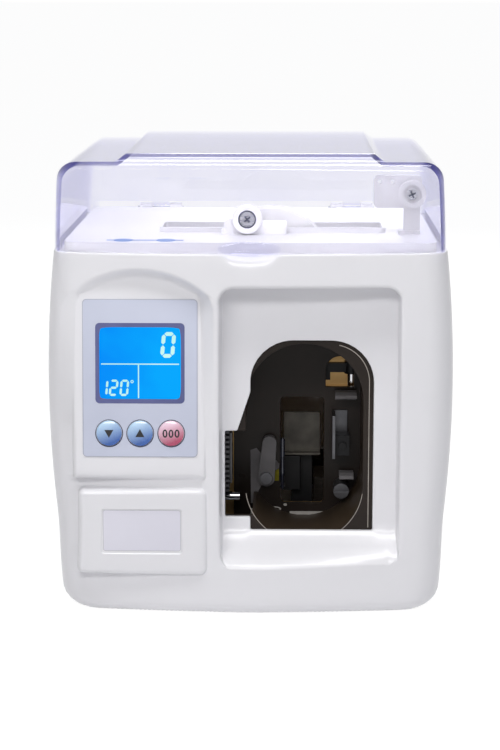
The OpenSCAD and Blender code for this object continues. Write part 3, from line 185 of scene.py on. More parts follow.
def noise(add, join, coord, scale, detail, stretch=None):
    texture = add("ShaderNodeTexNoise")
    texture.inputs["Scale"].default_value = scale
    texture.inputs["Detail"].default_value = detail
    if stretch:
        mapping = add("ShaderNodeMapping")
        mapping.inputs["Scale"].default_value = stretch
        join(coord, mapping.inputs["Vector"])
        coord = mapping.outputs["Vector"]
    join(coord, texture.inputs["Vector"])
    return texture


def finish(name, low, high, rough, metal=0.0, grain=900.0, bump=0.05, patch=18.0, stretch=None,
           coat=0.0, shine=0.5, spread=0.06):
    """A surface whose colour drifts between two tones, with fine grain and patchy gloss."""
    mat, add, join = new_material(name)
    coord = add("ShaderNodeTexCoord").outputs["Object"]
    bsdf = add("ShaderNodeBsdfPrincipled")
    out = add("ShaderNodeOutputMaterial")
    drift = noise(add, join, coord, patch, 4.0, stretch)
    tone = ramp(add, low, high)
    join(drift.outputs["Fac"], tone.inputs["Fac"])
    join(tone.outputs["Color"], bsdf.inputs["Base Color"])
    gloss = add("ShaderNodeMapRange")
    gloss.inputs["To Min"].default_value = max(rough - spread, 0.02)
    gloss.inputs["To Max"].default_value = rough + spread
    join(drift.outputs["Fac"], gloss.inputs["Value"])
    join(gloss.outputs["Result"], bsdf.inputs["Roughness"])
    fine = noise(add, join, coord, grain, 2.0, stretch)
    relief = add("ShaderNodeBump")
    relief.inputs["Strength"].default_value = bump
    relief.inputs["Distance"].default_value = 0.2 * mm
    join(fine.outputs["Fac"], relief.inputs["Height"])
    join(relief.outputs["Normal"], bsdf.inputs["Normal"])
    bsdf.inputs["Metallic"].default_value = metal
    bsdf.inputs["Coat Weight"].default_value = coat
    bsdf.inputs["Specular IOR Level"].default_value = shine
    join(bsdf.outputs[0], out.inputs["Surface"])
    return mat


def shade_smooth(obj):
    obj.data.polygons.foreach_set("use_smooth", [True] * len(obj.data.polygons))


def even_normals(obj):
    obj.modifiers.new("normals", "WEIGHTED_NORMAL").keep_sharp = True


weld_gap = 0.00002                  # metres: points closer than this are one
abs_white = finish("white_abs", (0.81, 0.805, 0.83), (0.83, 0.825, 0.85), 0.30, grain=1400,
                   bump=0.04, patch=9, coat=0.25, spread=0.02)

body_w, seam_z, belly_z, floor_z = 246.0, 222.0, 138.0, 3.5
front_y, skin_y, split_y = -112.5, -110.0, 92.5
side_bow_r, front_bow_r, corner_r = 745.0, 750.0, 20.0
side_foot_r, front_foot_r, top_r = 12.0, 8.0, 1.0
half_w = body_w / 2
bow_end = asin((half_w - corner_r) / (front_bow_r - corner_r))      # where the corner takes over
corner_y = skin_y + front_bow_r - (front_bow_r - corner_r) * cos(bow_end)
front_turn = radians(45)            # the front is one height field as far as this angle of the corner
bow_fade = 30.0                     # the sides' bow reaches the front's points beyond this


def soft_step(t):
    t = min(max(t, 0.0), 1.0)
    return t * t * (3 - 2 * t)


def blend_share(a, b, reach):
    """0 where a is well below b, 1 where it is well above, and in between within reach."""
    return min(max(0.5 + 0.5 * (a - b) / reach, 0), 1)


def bow(z):
    return side_bow_r - sqrt(side_bow_r ** 2 - (z - belly_z) ** 2)


def foot_inset(z, r):
    h = z - floor_z
    return r - sqrt(max(r * r - (r - h) ** 2, 0)) if h < r else 0.0


def corner_x(z):
    return half_w - corner_r - bow(z)


def corner_point(z, angle):
    """Point on the upright corner: angle 0 looks forwards, 90 degrees sideways."""
    return (corner_x(z) + (corner_r - foot_inset(z, side_foot_r)) * sin(angle),
            corner_y - (corner_r - foot_inset(z, front_foot_r)) * cos(angle))


def skin(x, z):
    """Y of the plain bowed front at x and z, before any feature."""
    ax = abs(x)
    s = (ax - corner_x(z)) / (corner_r - foot_inset(z, side_foot_r))
    if s > sin(bow_end):
        return corner_point(z, asin(min(s, 0.999)))[1]
    xp = ax + bow(z) * soft_step(ax / bow_fade)
    a = asin(min(xp / front_bow_r, sin(bow_end)))
    return skin_y + front_bow_r * (1 - cos(a)) + foot_inset(z, front_foot_r) * cos(a)


def box_distance(x, z, box, r):
    """Distance outside a box with rounded corners, less than 0 inside it."""
    x0, z0, x1, z1 = box
    dx = abs(x - (x0 + x1) / 2) - (x1 - x0) / 2 + r
    dz = abs(z - (z0 + z1) / 2) - (z1 - z0) / 2 + r
    return sqrt(max(dx, 0) ** 2 + max(dz, 0) ** 2) + min(max(dx, dz), 0) - r


def arc_points(cx, cz, r, a0, a1, n):
    angles = [radians(a0 + (a1 - a0) * i / n) for i in range(n + 1)]
    return [(cx + r * cos(a), cz + r * sin(a)) for a in angles]


least_r = 0.3                       # no ring is rounded to less than this


def box_ring(box, r, g):
    """Outline of a box with corners rounded to r, at distance g outside it."""
    x0, z0, x1, z1 = box
    q = max(r + g, least_r)
    x0, z0, x1, z1 = x0 - g + q, z0 - g + q, x1 + g - q, z1 + g - q
    return (arc_points(x1, z0, q, -90, 0, 6) + arc_points(x1, z1, q, 0, 90, 6)
            + arc_points(x0, z1, q, 90, 180, 6) + arc_points(x0, z0, q, 180, 270, 6))


# Note recess
recess = (-18.0, 31.0, 90.0, 201.5)
recess_r, recess_back_y, recess_wall = 8.5, -88.0, 2.2
recess_round, recess_draft, recess_fillet = 2.4, 0.7, 1.2
sill_rise, sill_blend = 17.0, 3.0


def recess_share(d):
    """Share of the recess's depth at distance d outside its outline."""
    full = recess_back_y - skin_y
    if d >= recess_round:
        return 0.0
    if d >= 0:
        return (recess_round - sqrt(recess_round ** 2 - (recess_round - d) ** 2)) / full
    top, low = recess_round / full, 1 - recess_fillet / full
    if d >= -recess_draft:
        return top + (low - top) * -d / recess_draft
    t = (-d - recess_draft) / recess_fillet
    return 1.0 if t >= 1 else low + (1 - low) * sqrt(1 - (1 - t) ** 2)


def recess_deep(x, z):
    """Y of the recess's back wall, with the sill sloping up to it."""
    sill_y = front_y + (z - recess[1]) * (recess_back_y - front_y) / sill_rise
    h = blend_share(recess_back_y, sill_y, sill_blend)
    deep = recess_back_y * (1 - h) + sill_y * h - sill_blend * h * (1 - h)
    base = skin(x, z)
    h = blend_share(deep, base, sill_blend)
    return base * (1 - h) + deep * h + sill_blend * h * (1 - h)


# Console: a tilted panel with an arched top, in a scooped hood. Below it a groove, and the
# lower pad with its label recess
panel_x0, panel_x1, panel_z0, panel_z1, panel_arch = -106.5, -26.7, 85.7, 196.0, 6.5
panel_tilt, panel_round, panel_corner_r, pocket_gap = radians(6), 6.0, 2.5, 0.8
panel_under = 0.75                  # share of its rounding by which the panel's lower edge draws in
panel_cx, panel_half = (panel_x0 + panel_x1) / 2, (panel_x1 - panel_x0) / 2
arch_r = (panel_half ** 2 + panel_arch ** 2) / (2 * panel_arch)
arch_z = panel_z1 + panel_arch - arch_r
arch_blend, arch_short = 3.0, 2     # the arch's outline stops this many degrees short of the sides
pad = (-103.6, 28.4, -26.2, 79.7)
pad_r, pad_y = 4.0, -112.0
label = (-89.0, 41.0, -41.0, 67.5)
label_r, label_depth = 1.5, 0.8
step_out, step_in = 0.9, 3.2        # how far a step's rounding reaches outside and inside its outline
step_outer = 0.3                    # share of the step that lies outside its outline
channel_z, channel_half, channel_depth = (panel_z0 + pad[3]) / 2, 3.6, 1.5
hood_cx, hood_half, hood_top, hood_low, hood_run = -65.6, 45.0, 213.0, 194.5, 6.5
hood_r = (hood_half ** 2 + (hood_top - hood_low) ** 2) / (2 * (hood_top - hood_low))
console_side_x = -20.0              # the console and the pad lie left of this


def panel_distance(x, z):
    sides = max(abs(x - panel_cx) - panel_half, panel_z0 - z)
    top = sqrt((x - panel_cx) ** 2 + (z - arch_z) ** 2) - arch_r
    h = blend_share(sides, top, arch_blend)
    return top * (1 - h) + sides * h + arch_blend * h * (1 - h)


def hood_distance(x, z):
    return sqrt((x - hood_cx) ** 2 + (z - hood_top + hood_r) ** 2) - hood_r


def panel_ring(g):
    """Outline of the panel at distance g outside it."""
    half = panel_half + g
    sweep = degrees(asin(half / (arch_r + g)))
    top = arc_points(panel_cx, arch_z, arch_r + g, 90 - sweep + arch_short, 90 + sweep - arch_short, 22)
    q = max(panel_corner_r + g, least_r)
    return (arc_points(panel_cx + half - q, panel_z0 - g + q, q, -90, 0, 4) + top
            + arc_points(panel_cx - half + q, panel_z0 - g + q, q, 180, 270, 4))


def panel_y(z):
    low = max(panel_round - (z - panel_z0), 0)
    under = panel_round - sqrt(max(panel_round ** 2 - low ** 2, 0))
    return front_y + (z - panel_z0) * tan(panel_tilt) + panel_under * under


def panel_face(x, z):
    """The panel's Y at any place on it. It leans back only, so x doesn't count."""
    return panel_y(z)


def step_share(d):
    """Rises from 0 outside an outline to 1 inside it, rounded at both ends."""
    if d >= step_out:
        return 0.0
    if d <= -step_in:
        return 1.0
    if d >= 0:
        t = 1 - d / step_out
        return step_outer * (1 - sqrt(1 - t * t))
    t = 1 + d / step_in
    return step_outer + (1 - step_outer) * sqrt(1 - t * t)


# Opening for the display. The leaning bezel's box starts a little below it
bezel_low, bezel_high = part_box("display_bezel")
opening = (bezel_low[0] / mm, bezel_low[2] / mm + 0.7, bezel_high[0] / mm, bezel_high[2] / mm)

# Finger scoop under the lid's tab, and the fuller skirt of the front
scoop_w, scoop_h, scoop_depth, scoop_reach, scoop_soft = 17.5, 5.6, 3.6, 1.04, 0.5
skirt_widen, skirt_drop, skirt_reach = 6.0, 3.0, 62.0


def front_surface(x, z):
    """Y of the front with all its features."""
    y = skin(x, z)
    if x < console_side_x:
        if z > hood_low:
            y += soft_step(-hood_distance(x, z) / hood_run) * (panel_y(z) - y)
        y += step_share(panel_distance(x, z)) * (panel_y(z) - y)
        y += step_share(box_distance(x, z, pad, pad_r)) * (pad_y - y)
        y += label_depth * soft_step(0.5 - box_distance(x, z, label, label_r) / label_depth)
        along = soft_step((panel_half + 1 - abs(x - panel_cx)) / 3)
        y += channel_depth * along * soft_step(1 - abs(z - channel_z) / channel_half)
    y += recess_share(box_distance(x, z, recess, recess_r)) * (recess_deep(x, z) - y)
    out = sqrt((x / scoop_w) ** 2 + ((seam_z - z) / scoop_h) ** 2)
    return y + scoop_depth * soft_step((scoop_reach - out) / scoop_soft)


def fuller(x, y, z):
    """The front's lower edge comes almost down to the table, and its lower corners are fuller."""
    front = soft_step((split_y - y) / (split_y - corner_y))
    side = (x / half_w) ** 4
    widen = skirt_widen * soft_step(1 - z / skirt_reach) * front * side
    drop = skirt_drop * soft_step(1 - (z - floor_z) / skirt_reach) * front
    return x + (widen if x > 0 else -widen), y, z - drop


# Window in the recess's back wall, with a notch for the sealing head at its left: the place of
# each corner and its radius
window_x, window_z0, window_z1, window_r = 75.0, 49.0, 167.0, 26.0
notch_x, notch_step_x, notch_z0, notch_z1, notch_slope_z = -15.6, -8.0, 57.0, 111.0, 135.0
window_corners = [
    (0, window_z0, 1.0), (window_x, window_z0, 1.0), (window_x, window_z1, window_r),
    (0, window_z1, window_r), (0, notch_slope_z, 6.0), (notch_step_x, notch_z1, 1.0),
    (notch_x, notch_z1, 1.0), (notch_x, notch_z0, 1.0), (0, notch_z0, 1.0)]


def window_ring(g):
    """Outline of the window at distance g outside it."""
    ring = []
    for i, (cx, cz, q) in enumerate(window_corners):
        before = Vector(window_corners[i - 1][:2])
        corner = Vector((cx, cz))
        after = Vector(window_corners[(i + 1) % len(window_corners)][:2])
        a, b = (before - corner).normalized(), (after - corner).normalized()
        half = a.angle(b) / 2
        convex = a.x * b.y - a.y * b.x < 0
        centre = corner + (a + b).normalized() * q / sin(half)
        reach = q / tan(half)
        start, end = corner + a * reach - centre, corner + b * reach - centre
        n = 10 if q > 2 else 3
        for j in range(n + 1):
            d = start.lerp(end, j / n).normalized()
            ring.append(tuple(centre + d * (q + (g if convex else -g))))
    return ring


def even(ring, step=4.0):
    """The same closed line with its long stretches divided."""
    out = []
    for (ax, az), (bx, bz) in zip(ring, ring[1:] + ring[:1]):
        n = max(1, round(sqrt((bx - ax) ** 2 + (bz - az) ** 2) / step))
        out += [(ax + (bx - ax) * i / n, az + (bz - az) * i / n) for i in range(n)]
    return out


def inside(x, z, ring):
    odd = False
    for (ax, az), (bx, bz) in zip(ring, ring[1:] + ring[:1]):
        if (az > z) != (bz > z) and x < ax + (bx - ax) * (z - az) / (bz - az):
            odd = not odd
    return odd


# Mesh of the cover: rows from the foot to the seam, columns across the front, a closer grid in
# the hood, and rings along every edge at the distances where its rounding bends most
foot_angles = (0, 8, 18, 28, 40, 53, 68, 84)
row_pitch, front_columns, side_columns, corner_columns = 4, 74, 16, 6
hood_columns, hood_rows = 60, 16
hood_margin, hood_rim, hood_from_panel, hood_from_recess = 3, 2, 1.9, 3
recess_rings = (2.4, 1.6, 0.9, 0.4, 0.1, 0, -0.35, -0.7, -0.85, -1.1, -1.5, -1.9)
step_rings = (step_out, 0.6, 0.3, 0.1, 0, -0.06, -0.25, -0.6, -1.1, -1.7, -2.4, -step_in)
label_rings = (0.5, 0.2, -0.05, -0.3)
hole_rings = ((0.5, 0), (0.15, 0.15), (0, 0.5), (-0.1, recess_wall))    # distance, and depth behind
hole_line, hole_room = -0.1, 1.6    # where a hole is cut, and how far grid points keep from it
ring_room, step_room = 2.9, 1.2     # how far they keep from the rings, and from a step's even more
lip, lip_wall = 0.4, 3.0            # the sides' rear edge turns in over the rear cover
# How far inwards and up each ring of the rim lies from the cover's last row
top_rim = ((0.29, 0.71), (1.0, 1.0), (3.0, 1.0), (3.0, -7.0))
low_rim = ((4.0, 0.0),)


def make_front_cover():
    rows = [floor_z + side_foot_r * (1 - cos(radians(a))) for a in foot_angles]
    top_row = seam_z - top_r
    count = round((top_row - rows[-1]) / row_pitch)
    rows += [rows[-1] + (top_row - rows[-1]) * i / count for i in range(1, count + 1)]
    points, lines, fixed = [], [], []

    def add_point(x, z, face=front_surface, back=0.0):
        points.append((x, z))
        fixed.append(face(x, z) + back)

    def add_ring(ring, face=front_surface, back=0.0):
        start = len(points)
        for x, z in ring:
            add_point(x, z, face, back)
        lines.extend((start + i, start + (i + 1) % len(ring)) for i in range(len(ring)))

    for g in recess_rings:
        add_ring(even(box_ring(recess, recess_r, g)))
    for g in step_rings:
        add_ring(even(panel_ring(g + pocket_gap / 2)))
        add_ring(even(box_ring(pad, pad_r, g)))
    for g in label_rings:
        add_ring(even(box_ring(label, label_r, g)))
    for g, back in hole_rings:
        add_ring(even(window_ring(g)), recess_deep, back)
        add_ring(even(box_ring(opening, 1, g)), panel_face, back)
    holes = [window_ring(hole_line), box_ring(opening, 1, hole_line)]
    edges = [window_ring(hole_room), box_ring(opening, 1, hole_room)]
    for side in (-1, 1):
        for z in rows:
            add_point(side * corner_point(z, front_turn)[0], z)
    for z in rows:
        reach = corner_point(z, front_turn)[0]
        for i in range(1, front_columns):
            x = reach * (2 * i / front_columns - 1)
            near = min(abs(box_distance(x, z, recess, recess_r)),
                       abs(box_distance(x, z, pad, pad_r)) - step_room,
                       abs(panel_distance(x, z) - pocket_gap / 2) - step_room,
                       abs(box_distance(x, z, label, label_r)) + step_room)
            by_hood = hood_distance(x, z) < hood_margin and panel_distance(x, z) > 0
            in_hood = z > hood_low and by_hood
            if near < ring_room or in_hood or any(inside(x, z, edge) for edge in edges):
                continue
            add_point(x, z)
    for i in range(hood_columns):
        for j in range(hood_rows):
            x = hood_cx + hood_half * (2 * i / (hood_columns - 1) - 1)
            z = hood_low + (hood_top + hood_rim - hood_low) * j / (hood_rows - 1)
            off_panel = panel_distance(x, z) > hood_from_panel
            off_recess = box_distance(x, z, recess, recess_r + 0.5) > hood_from_recess
            if hood_distance(x, z) < hood_rim and off_panel and off_recess:
                add_point(x, z)
    net = delaunay_2d_cdt([Vector(p) for p in points], lines, [], 0, 1e-4)
    flat, tris, origin = net[0], net[2], net[3]
    body = [(v.x, fixed[src[0]] if src else front_surface(v.x, v.y), v.y)
            for v, src in zip(flat, origin)]
    faces = []
    for f in tris:
        x, z = sum(flat[i].x for i in f) / 3, sum(flat[i].y for i in f) / 3
        if not any(inside(x, z, hole) for hole in holes):
            faces.append(list(f))

    def plan_inward(x, z):
        """Direction into the wall, seen from above."""
        ax = abs(x)
        s = (ax - corner_x(z)) / (corner_r - foot_inset(z, side_foot_r))
        a = asin(min(s, 1)) if s > sin(bow_end) else asin(ax / front_bow_r)
        return (-sin(a) if x > 0 else sin(a), cos(a))

    def strip(line_a, line_b, flip):
        for i in range(len(line_a) - 1):
            quad = [line_a[i], line_a[i + 1], line_b[i + 1], line_b[i]]
            faces.append(quad[::-1] if flip else quad)

    def lay(places):
        start = len(body)
        body.extend(places)
        return list(range(start, start + len(places)))

    # Corners and sides, back to the joint with the rear cover
    rims = {}
    for side in (-1, 1):
        columns = []
        for z in rows:
            turns = [front_turn + (pi / 2 - front_turn) * i / corner_columns
                     for i in range(corner_columns + 1)]
            line = [corner_point(z, angle) for angle in turns]
            x = line[-1][0]
            line += [(x, corner_y + (split_y - lip - corner_y) * i / side_columns)
                     for i in range(1, side_columns + 1)]
            line += [(x - lip, split_y), (x - lip_wall, split_y)]
            columns.append(lay([(side * px, py, z) for px, py in line]))
        for low, high in zip(columns, columns[1:]):
            strip(low, high, side < 0)
        rims[side] = columns[0][:-2], columns[-1][:-2]

    # Upper and lower rims, from one end of the joint round the front to the other
    for end, rings in ((1, top_rim), (0, low_rim)):
        z = rows[-1] if end else rows[0]
        front_reach = corner_point(z, front_turn)[0] - 0.05     # without the corner's own points
        middle = [i for i in range(len(flat))
                  if abs(body[i][2] - z) < 0.01 and abs(body[i][0]) < front_reach]
        middle.sort(key=lambda i: body[i][0])
        line = rims[-1][end][::-1] + middle + rims[1][end]
        last = line
        for inward, up in rings:
            places = []
            for i in line:
                x, y, _ = body[i]
                nx, ny = (-1 if x > 0 else 1, 0) if y > corner_y else plan_inward(x, z)
                places.append((x + nx * inward, y + ny * inward, z + up))
            ring = lay(places)
            strip(last, ring, end == 0)
            last = ring
    cover = new_mesh("front_cover_skin", [Vector(fuller(*p)) * mm for p in body], faces)
    shade_smooth(cover)
    cover.modifiers.new("weld", "WELD").merge_threshold = weld_gap
    even_normals(cover)
    cover.data.materials.append(abs_white)
    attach(cover, "root")
    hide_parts("front_cover")


make_front_cover()

# ---------------------------------------------------------------------------
# Rear cover: the back of the same white shell, with a row of vent slots, the
# power socket and the switch. Four small screws hold it.
# ---------------------------------------------------------------------------


def dress(name, mat, slot, round_off=0.0, angle=32):
    """Gives a carried-over piece its finish, and rounds its edges as a mould or a deburr does."""
    obj = nodes[name]
    obj.data.materials.clear()
    obj.data.materials.append(mat)
    shade_smooth(obj)
    obj.modifiers.new("weld", "WELD").merge_threshold = weld_gap
    flat = obj.modifiers.new("flat", "DECIMATE")
    flat.decimate_type = "DISSOLVE"
    flat.angle_limit = radians(0.6)
    if round_off:
        bevel = obj.modifiers.new("edges", "BEVEL")
        bevel.width = round_off * mm
        bevel.segments = 2
        bevel.limit_method = "ANGLE"
        bevel.angle_limit = radians(angle)
        bevel.harden_normals = True
        bevel.use_clamp_overlap = True
    even_normals(obj)


steel = finish("bright_steel", (0.42, 0.42, 0.44), (0.60, 0.60, 0.62), 0.28, metal=1.0, grain=2500,
               bump=0.05, patch=60, stretch=(1, 1, 8))
dress("rear_cover", abs_white, "housing", 0.5)
dress("casing_screw", steel, "steel", 0.15)

# ---------------------------------------------------------------------------
# Base plate and feet: a plate of zinc-plated sheet steel that closes the
# machine below, and stands on four black rubber feet.
# ---------------------------------------------------------------------------
zinc = finish("zinc_plate", (0.30, 0.30, 0.32), (0.44, 0.44, 0.46), 0.38, metal=0.9, grain=700,
              bump=0.08, patch=40)
rubber = finish("black_rubber", (0.018, 0.018, 0.019), (0.035, 0.035, 0.036), 0.7, grain=1600,
                bump=0.25, patch=50)
dress("base_plate", zinc, "zinc", 0.3)
dress("foot", rubber, "rubber", 0.6)

# ---------------------------------------------------------------------------
# Top deck: the white moulding under the lid, with the raised platform and the
# slot that the paper roll sits in.
# ---------------------------------------------------------------------------
deck_white = finish("deck_white", (0.66, 0.65, 0.66), (0.72, 0.71, 0.72), 0.33, grain=1200,
                    bump=0.05, patch=12)
dress("top_deck", deck_white, "white_plastic", 0.6)

# ---------------------------------------------------------------------------
# Lid: one clear polycarbonate moulding, 2.5 mm thick, that turns on two steel
# pins at the back. It has a faint violet tint, which gathers where one looks
# along the wall.
# ---------------------------------------------------------------------------


def clear_plastic(name, tint, density):
    """Clear glossy plastic whose tint deepens with the way that light goes through it."""
    gloss = 0.015
    mat, add, join = new_material(name)
    coord = add("ShaderNodeTexCoord").outputs["Object"]
    glass = add("ShaderNodeBsdfPrincipled")
    glass.inputs["Transmission Weight"].default_value = 1.0
    glass.inputs["IOR"].default_value = 1.0
    glass.inputs["Roughness"].default_value = gloss
    glass.inputs["Coat Weight"].default_value = 1.0
    glass.inputs["Coat Roughness"].default_value = gloss
    haze = noise(add, join, coord, 26, 3.0)
    tone = ramp(add, (0.95, 0.95, 0.985), (0.99, 0.99, 1.0))
    join(haze.outputs["Fac"], tone.inputs["Fac"])
    join(tone.outputs["Color"], glass.inputs["Base Color"])
    wave = noise(add, join, coord, 14, 1.0)
    relief = add("ShaderNodeBump")
    relief.inputs["Strength"].default_value = 0.03
    relief.inputs["Distance"].default_value = 1 * mm
    join(wave.outputs["Fac"], relief.inputs["Height"])
    join(relief.outputs["Normal"], glass.inputs["Coat Normal"])
    body = add("ShaderNodeVolumeAbsorption")
    body.inputs["Color"].default_value = (*tint, 1)
    body.inputs["Density"].default_value = density
    out = add("ShaderNodeOutputMaterial")
    join(glass.outputs[0], out.inputs["Surface"])
    join(body.outputs[0], out.inputs["Volume"])
    return mat


lid_clear = clear_plastic("clear_polycarbonate", (0.48, 0.47, 0.78), 48)
dress("lid", lid_clear, "clear", 0.8, angle=25)
dress("hinge_pin", steel, "steel")

# ---------------------------------------------------------------------------
# Finger tab: a clear oval lens moulded on the lid's lower front edge, by which
# the lid is lifted. It stands over the scoop in the front cover.
# ---------------------------------------------------------------------------
tab_x, tab_z, tab_half, tab_rise, tab_thick, tab_n = -0.2, 225.3, 18.6, 4.8, 2.6, 48
tab_sink = 0.6                      # its back lies this deep in the lid's wall
tab_rings = [(1.0, 0.25), (1.0, 0.45), (0.97, 0.68), (0.88, 0.86), (0.72, 0.96), (0.5, 1.0),
             (0.25, 0.9), (0.06, 0.85)]     # share of its reach, and of its thickness
lid_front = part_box("lid")[0][1] / mm


def ring_faces(rings, n):
    """Faces of a closed form of stacked rings of n points, with its two end caps."""
    faces = [(k * n + i, k * n + (i + 1) % n, (k + 1) * n + (i + 1) % n, (k + 1) * n + i)
             for k in range(rings - 1) for i in range(n)]
    last = (rings - 1) * n
    return faces + [tuple(range(n))[::-1], tuple(last + i for i in range(n))]


tab_verts = []
for reach, height in tab_rings:
    for i in range(tab_n):
        angle = 2 * pi * i / tab_n
        tab_verts.append(Vector((tab_x + tab_half * reach * cos(angle),
                                 lid_front + tab_sink - tab_thick * height,
                                 tab_z + tab_rise * reach * sin(angle))) * mm)
tab = new_mesh("finger_tab", tab_verts, ring_faces(len(tab_rings), tab_n))
shade_smooth(tab)
tab.data.materials.append(clear_plastic("clear_tab", (0.45, 0.45, 0.70), 150))
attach(tab, "lid")

# ---------------------------------------------------------------------------
# Console film: a silver-lavender printed polyester film, glued over the
# moulded face, with a slate border printed round the display's slate bezel.
# A grey band along its edge is painted shade of the film's step.
# ---------------------------------------------------------------------------
console_cx, console_y, console_z = -65.5, -106.583, 142.0
film_front = -0.4                   # place of the film's face in front of the moulded face
border_z, border_w, border_h, border_r = 14.0, 53.4, 48.2, 2.6
border_clear_w, border_clear_h = 49.0, 43.2
film_low, film_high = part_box("keypad_overlay")
film_w, film_h = (film_high[0] - film_low[0]) / mm, 94.6
film_cz = (film_high[2] + film_low[2]) / 2 / mm - console_z
film_r, film_rim = 2.4, 0.4
film = finish("overlay_film", (0.53, 0.56, 0.68), (0.61, 0.64, 0.76), 0.34, grain=2600, bump=0.12,
              patch=10, metal=0.1)
slate = finish("display_frame", (0.085, 0.095, 0.24), (0.12, 0.13, 0.30), 0.3, patch=30)
# Grey tone for the painted shade along the film's edge.
film_edge_shade_tone = finish("film_edge_shade", (0.34, 0.35, 0.44), (0.44, 0.45, 0.54), 0.4, patch=20)


def on_console(x, y, z):
    """Place on the tilted console: x across, y into the panel and z up it, in millimetres."""
    return Vector((x, console_y + y * cos(panel_tilt) + z * sin(panel_tilt),
                   console_z - y * sin(panel_tilt) + z * cos(panel_tilt))) * mm


def on_film(x, z, out):
    return on_console(x, film_front - out, z)


def round_box(cx, cz, w, h, r):
    return even(box_ring((cx - w / 2, cz - h / 2, cx + w / 2, cz + h / 2), r, 0), 3.0)


def printed(name, shapes, place, mat, body, slot, thick=0.06):
    """Thin layer in the given outlines, each filled, or a band where an inner line comes with it."""
    verts, faces = [], []
    for outer, inner in shapes:
        n, start = len(outer), len(verts)
        if inner is None:
            cx, cz = sum(p[0] for p in outer) / n, sum(p[1] for p in outer) / n
            rings = [[(cx + (x - cx) * s, cz + (z - cz) * s) for x, z in outer] for s in (1, 0.7, 0.4)]
        else:
            rings = [outer, inner]
        for level in (thick, 0):
            verts += [place(x, z, level) for ring in rings for x, z in ring]
        back = start + n * len(rings)
        for i in range(n):
            j = (i + 1) % n
            for r in range(len(rings) - 1):
                a, b = start + r * n, start + (r + 1) * n
                d, e = back + r * n, back + (r + 1) * n
                faces += [(a + i, a + j, b + j, b + i), (d + i, e + i, e + j, d + j)]
            faces.append((start + i, back + i, back + j, start + j))
            a, d = start + (len(rings) - 1) * n, back + (len(rings) - 1) * n
            if inner is not None:
                faces.append((a + i, a + j, d + j, d + i))
        if inner is None:
            faces += [tuple(a + i for i in range(n)), tuple(d + n - 1 - i for i in range(n))]
    obj = new_mesh(name, verts, faces)
    obj.data.materials.append(mat)
    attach(obj, body)
    return obj


dress("keypad_overlay", film, "overlay", 0.15)
dress("display_bezel", slate, "bezel", 0.2)
border = (round_box(console_cx, border_z, border_w, border_h, border_r),
          round_box(console_cx, border_z, border_clear_w, border_clear_h, border_r))
printed("display_border", [border], on_film, slate, "root", "bezel", 0.1)
# A grey band along the film's edge: painted shade of the film's step.
rim = (round_box(console_cx, film_cz, film_w, film_h, film_r),
       round_box(console_cx, film_cz, film_w - 2 * film_rim, film_h - 2 * film_rim, film_r - film_rim))
printed("film_edge_shade", [rim], on_film, film_edge_shade_tone, "root", "overlay", 0.05)

# ---------------------------------------------------------------------------
# Display: a blue backlit liquid-crystal glass behind its bezel. The lit
# segments show a count of 0 above a line, and 120 degrees below it.
# ---------------------------------------------------------------------------
display_half = 24.0
glass_front = 0.6                   # place of the glass's face behind the moulded face
count_digit = ("0", -53.6, 17.3, 8.4, 15.4, 2.3)        # left, foot, width, height, bar
heat_z, heat_w, heat_h, heat_bar = -5.7, 5.2, 9.8, 1.3
degree_x, degree_z, degree_r, degree_hole_r = -70.3, 2.9, 0.95, 0.45


def glowing(name, tone_in, tone_out, strength, slope=0.0):
    """Backlit colour that drifts across the display, under a clear gloss."""
    mat, add, join = new_material(name)
    coord = add("ShaderNodeTexCoord").outputs["Object"]
    drift = noise(add, join, coord, 45, 2.0)
    span = add("ShaderNodeSeparateXYZ")
    join(coord, span.inputs[0])
    across = add("ShaderNodeMapRange")
    across.inputs["From Min"].default_value = (console_cx - display_half) * mm
    across.inputs["From Max"].default_value = (console_cx + display_half) * mm
    join(span.outputs["X"], across.inputs["Value"])
    blend = add("ShaderNodeMath")
    blend.operation = "MULTIPLY_ADD"
    blend.inputs[1].default_value = slope
    join(across.outputs["Result"], blend.inputs[0])
    join(drift.outputs["Fac"], blend.inputs[2])
    tone = ramp(add, tone_in, tone_out, 0.35, 0.65 + slope)
    join(blend.outputs[0], tone.inputs["Fac"])
    bsdf = add("ShaderNodeBsdfPrincipled")
    bsdf.inputs["Roughness"].default_value = 0.2
    bsdf.inputs["Specular IOR Level"].default_value = 0.03
    bsdf.inputs["Emission Strength"].default_value = strength
    bsdf.inputs["Base Color"].default_value = (0.001, 0.01, 0.02, 1)
    join(tone.outputs["Color"], bsdf.inputs["Emission Color"])
    out = add("ShaderNodeOutputMaterial")
    join(bsdf.outputs[0], out.inputs["Surface"])
    return mat


def segment_bars(digit, x, z, w, h, t):
    """Outlines of the lit bars of one seven-segment digit, leaning a little to the right."""
    gap, lean = 0.12 * t, 0.09
    lit = {"0": "abcdef", "1": "bc", "2": "abged"}[digit]
    left, right, low, mid, high = t / 2, w - t / 2, t / 2, h / 2, h - t / 2
    lines = {"a": ((left, high), (right, high)), "b": ((right, mid), (right, high)),
             "c": ((right, low), (right, mid)), "d": ((left, low), (right, low)),
             "e": ((left, low), (left, mid)), "f": ((left, mid), (left, high)),
             "g": ((left, mid), (right, mid))}
    bars = []
    for name in lit:
        a, b = Vector(lines[name][0]), Vector(lines[name][1])
        along = (b - a).normalized()
        side = Vector((along.y, -along.x)) * (t / 2)
        a, b = a + along * gap, b - along * gap
        shape = [a, a + along * t / 2 + side, b - along * t / 2 + side, b,
                 b - along * t / 2 - side, a + along * t / 2 - side]
        bars.append(([(x + p.x + lean * p.y, z + p.y) for p in shape], None))
    return bars


def bar_between(x0, z0, x1, z1):
    return [(x0, z0), (x1, z0), (x1, z1), (x0, z1)], None


def circle_line(cx, cz, r, n=24, squeeze=1.0):
    angles = [2 * pi * i / n for i in range(n)]
    return [(cx + r * squeeze * cos(a), cz + r * sin(a)) for a in angles]


def on_glass(x, z, out):
    return on_console(x, glass_front - out, z)


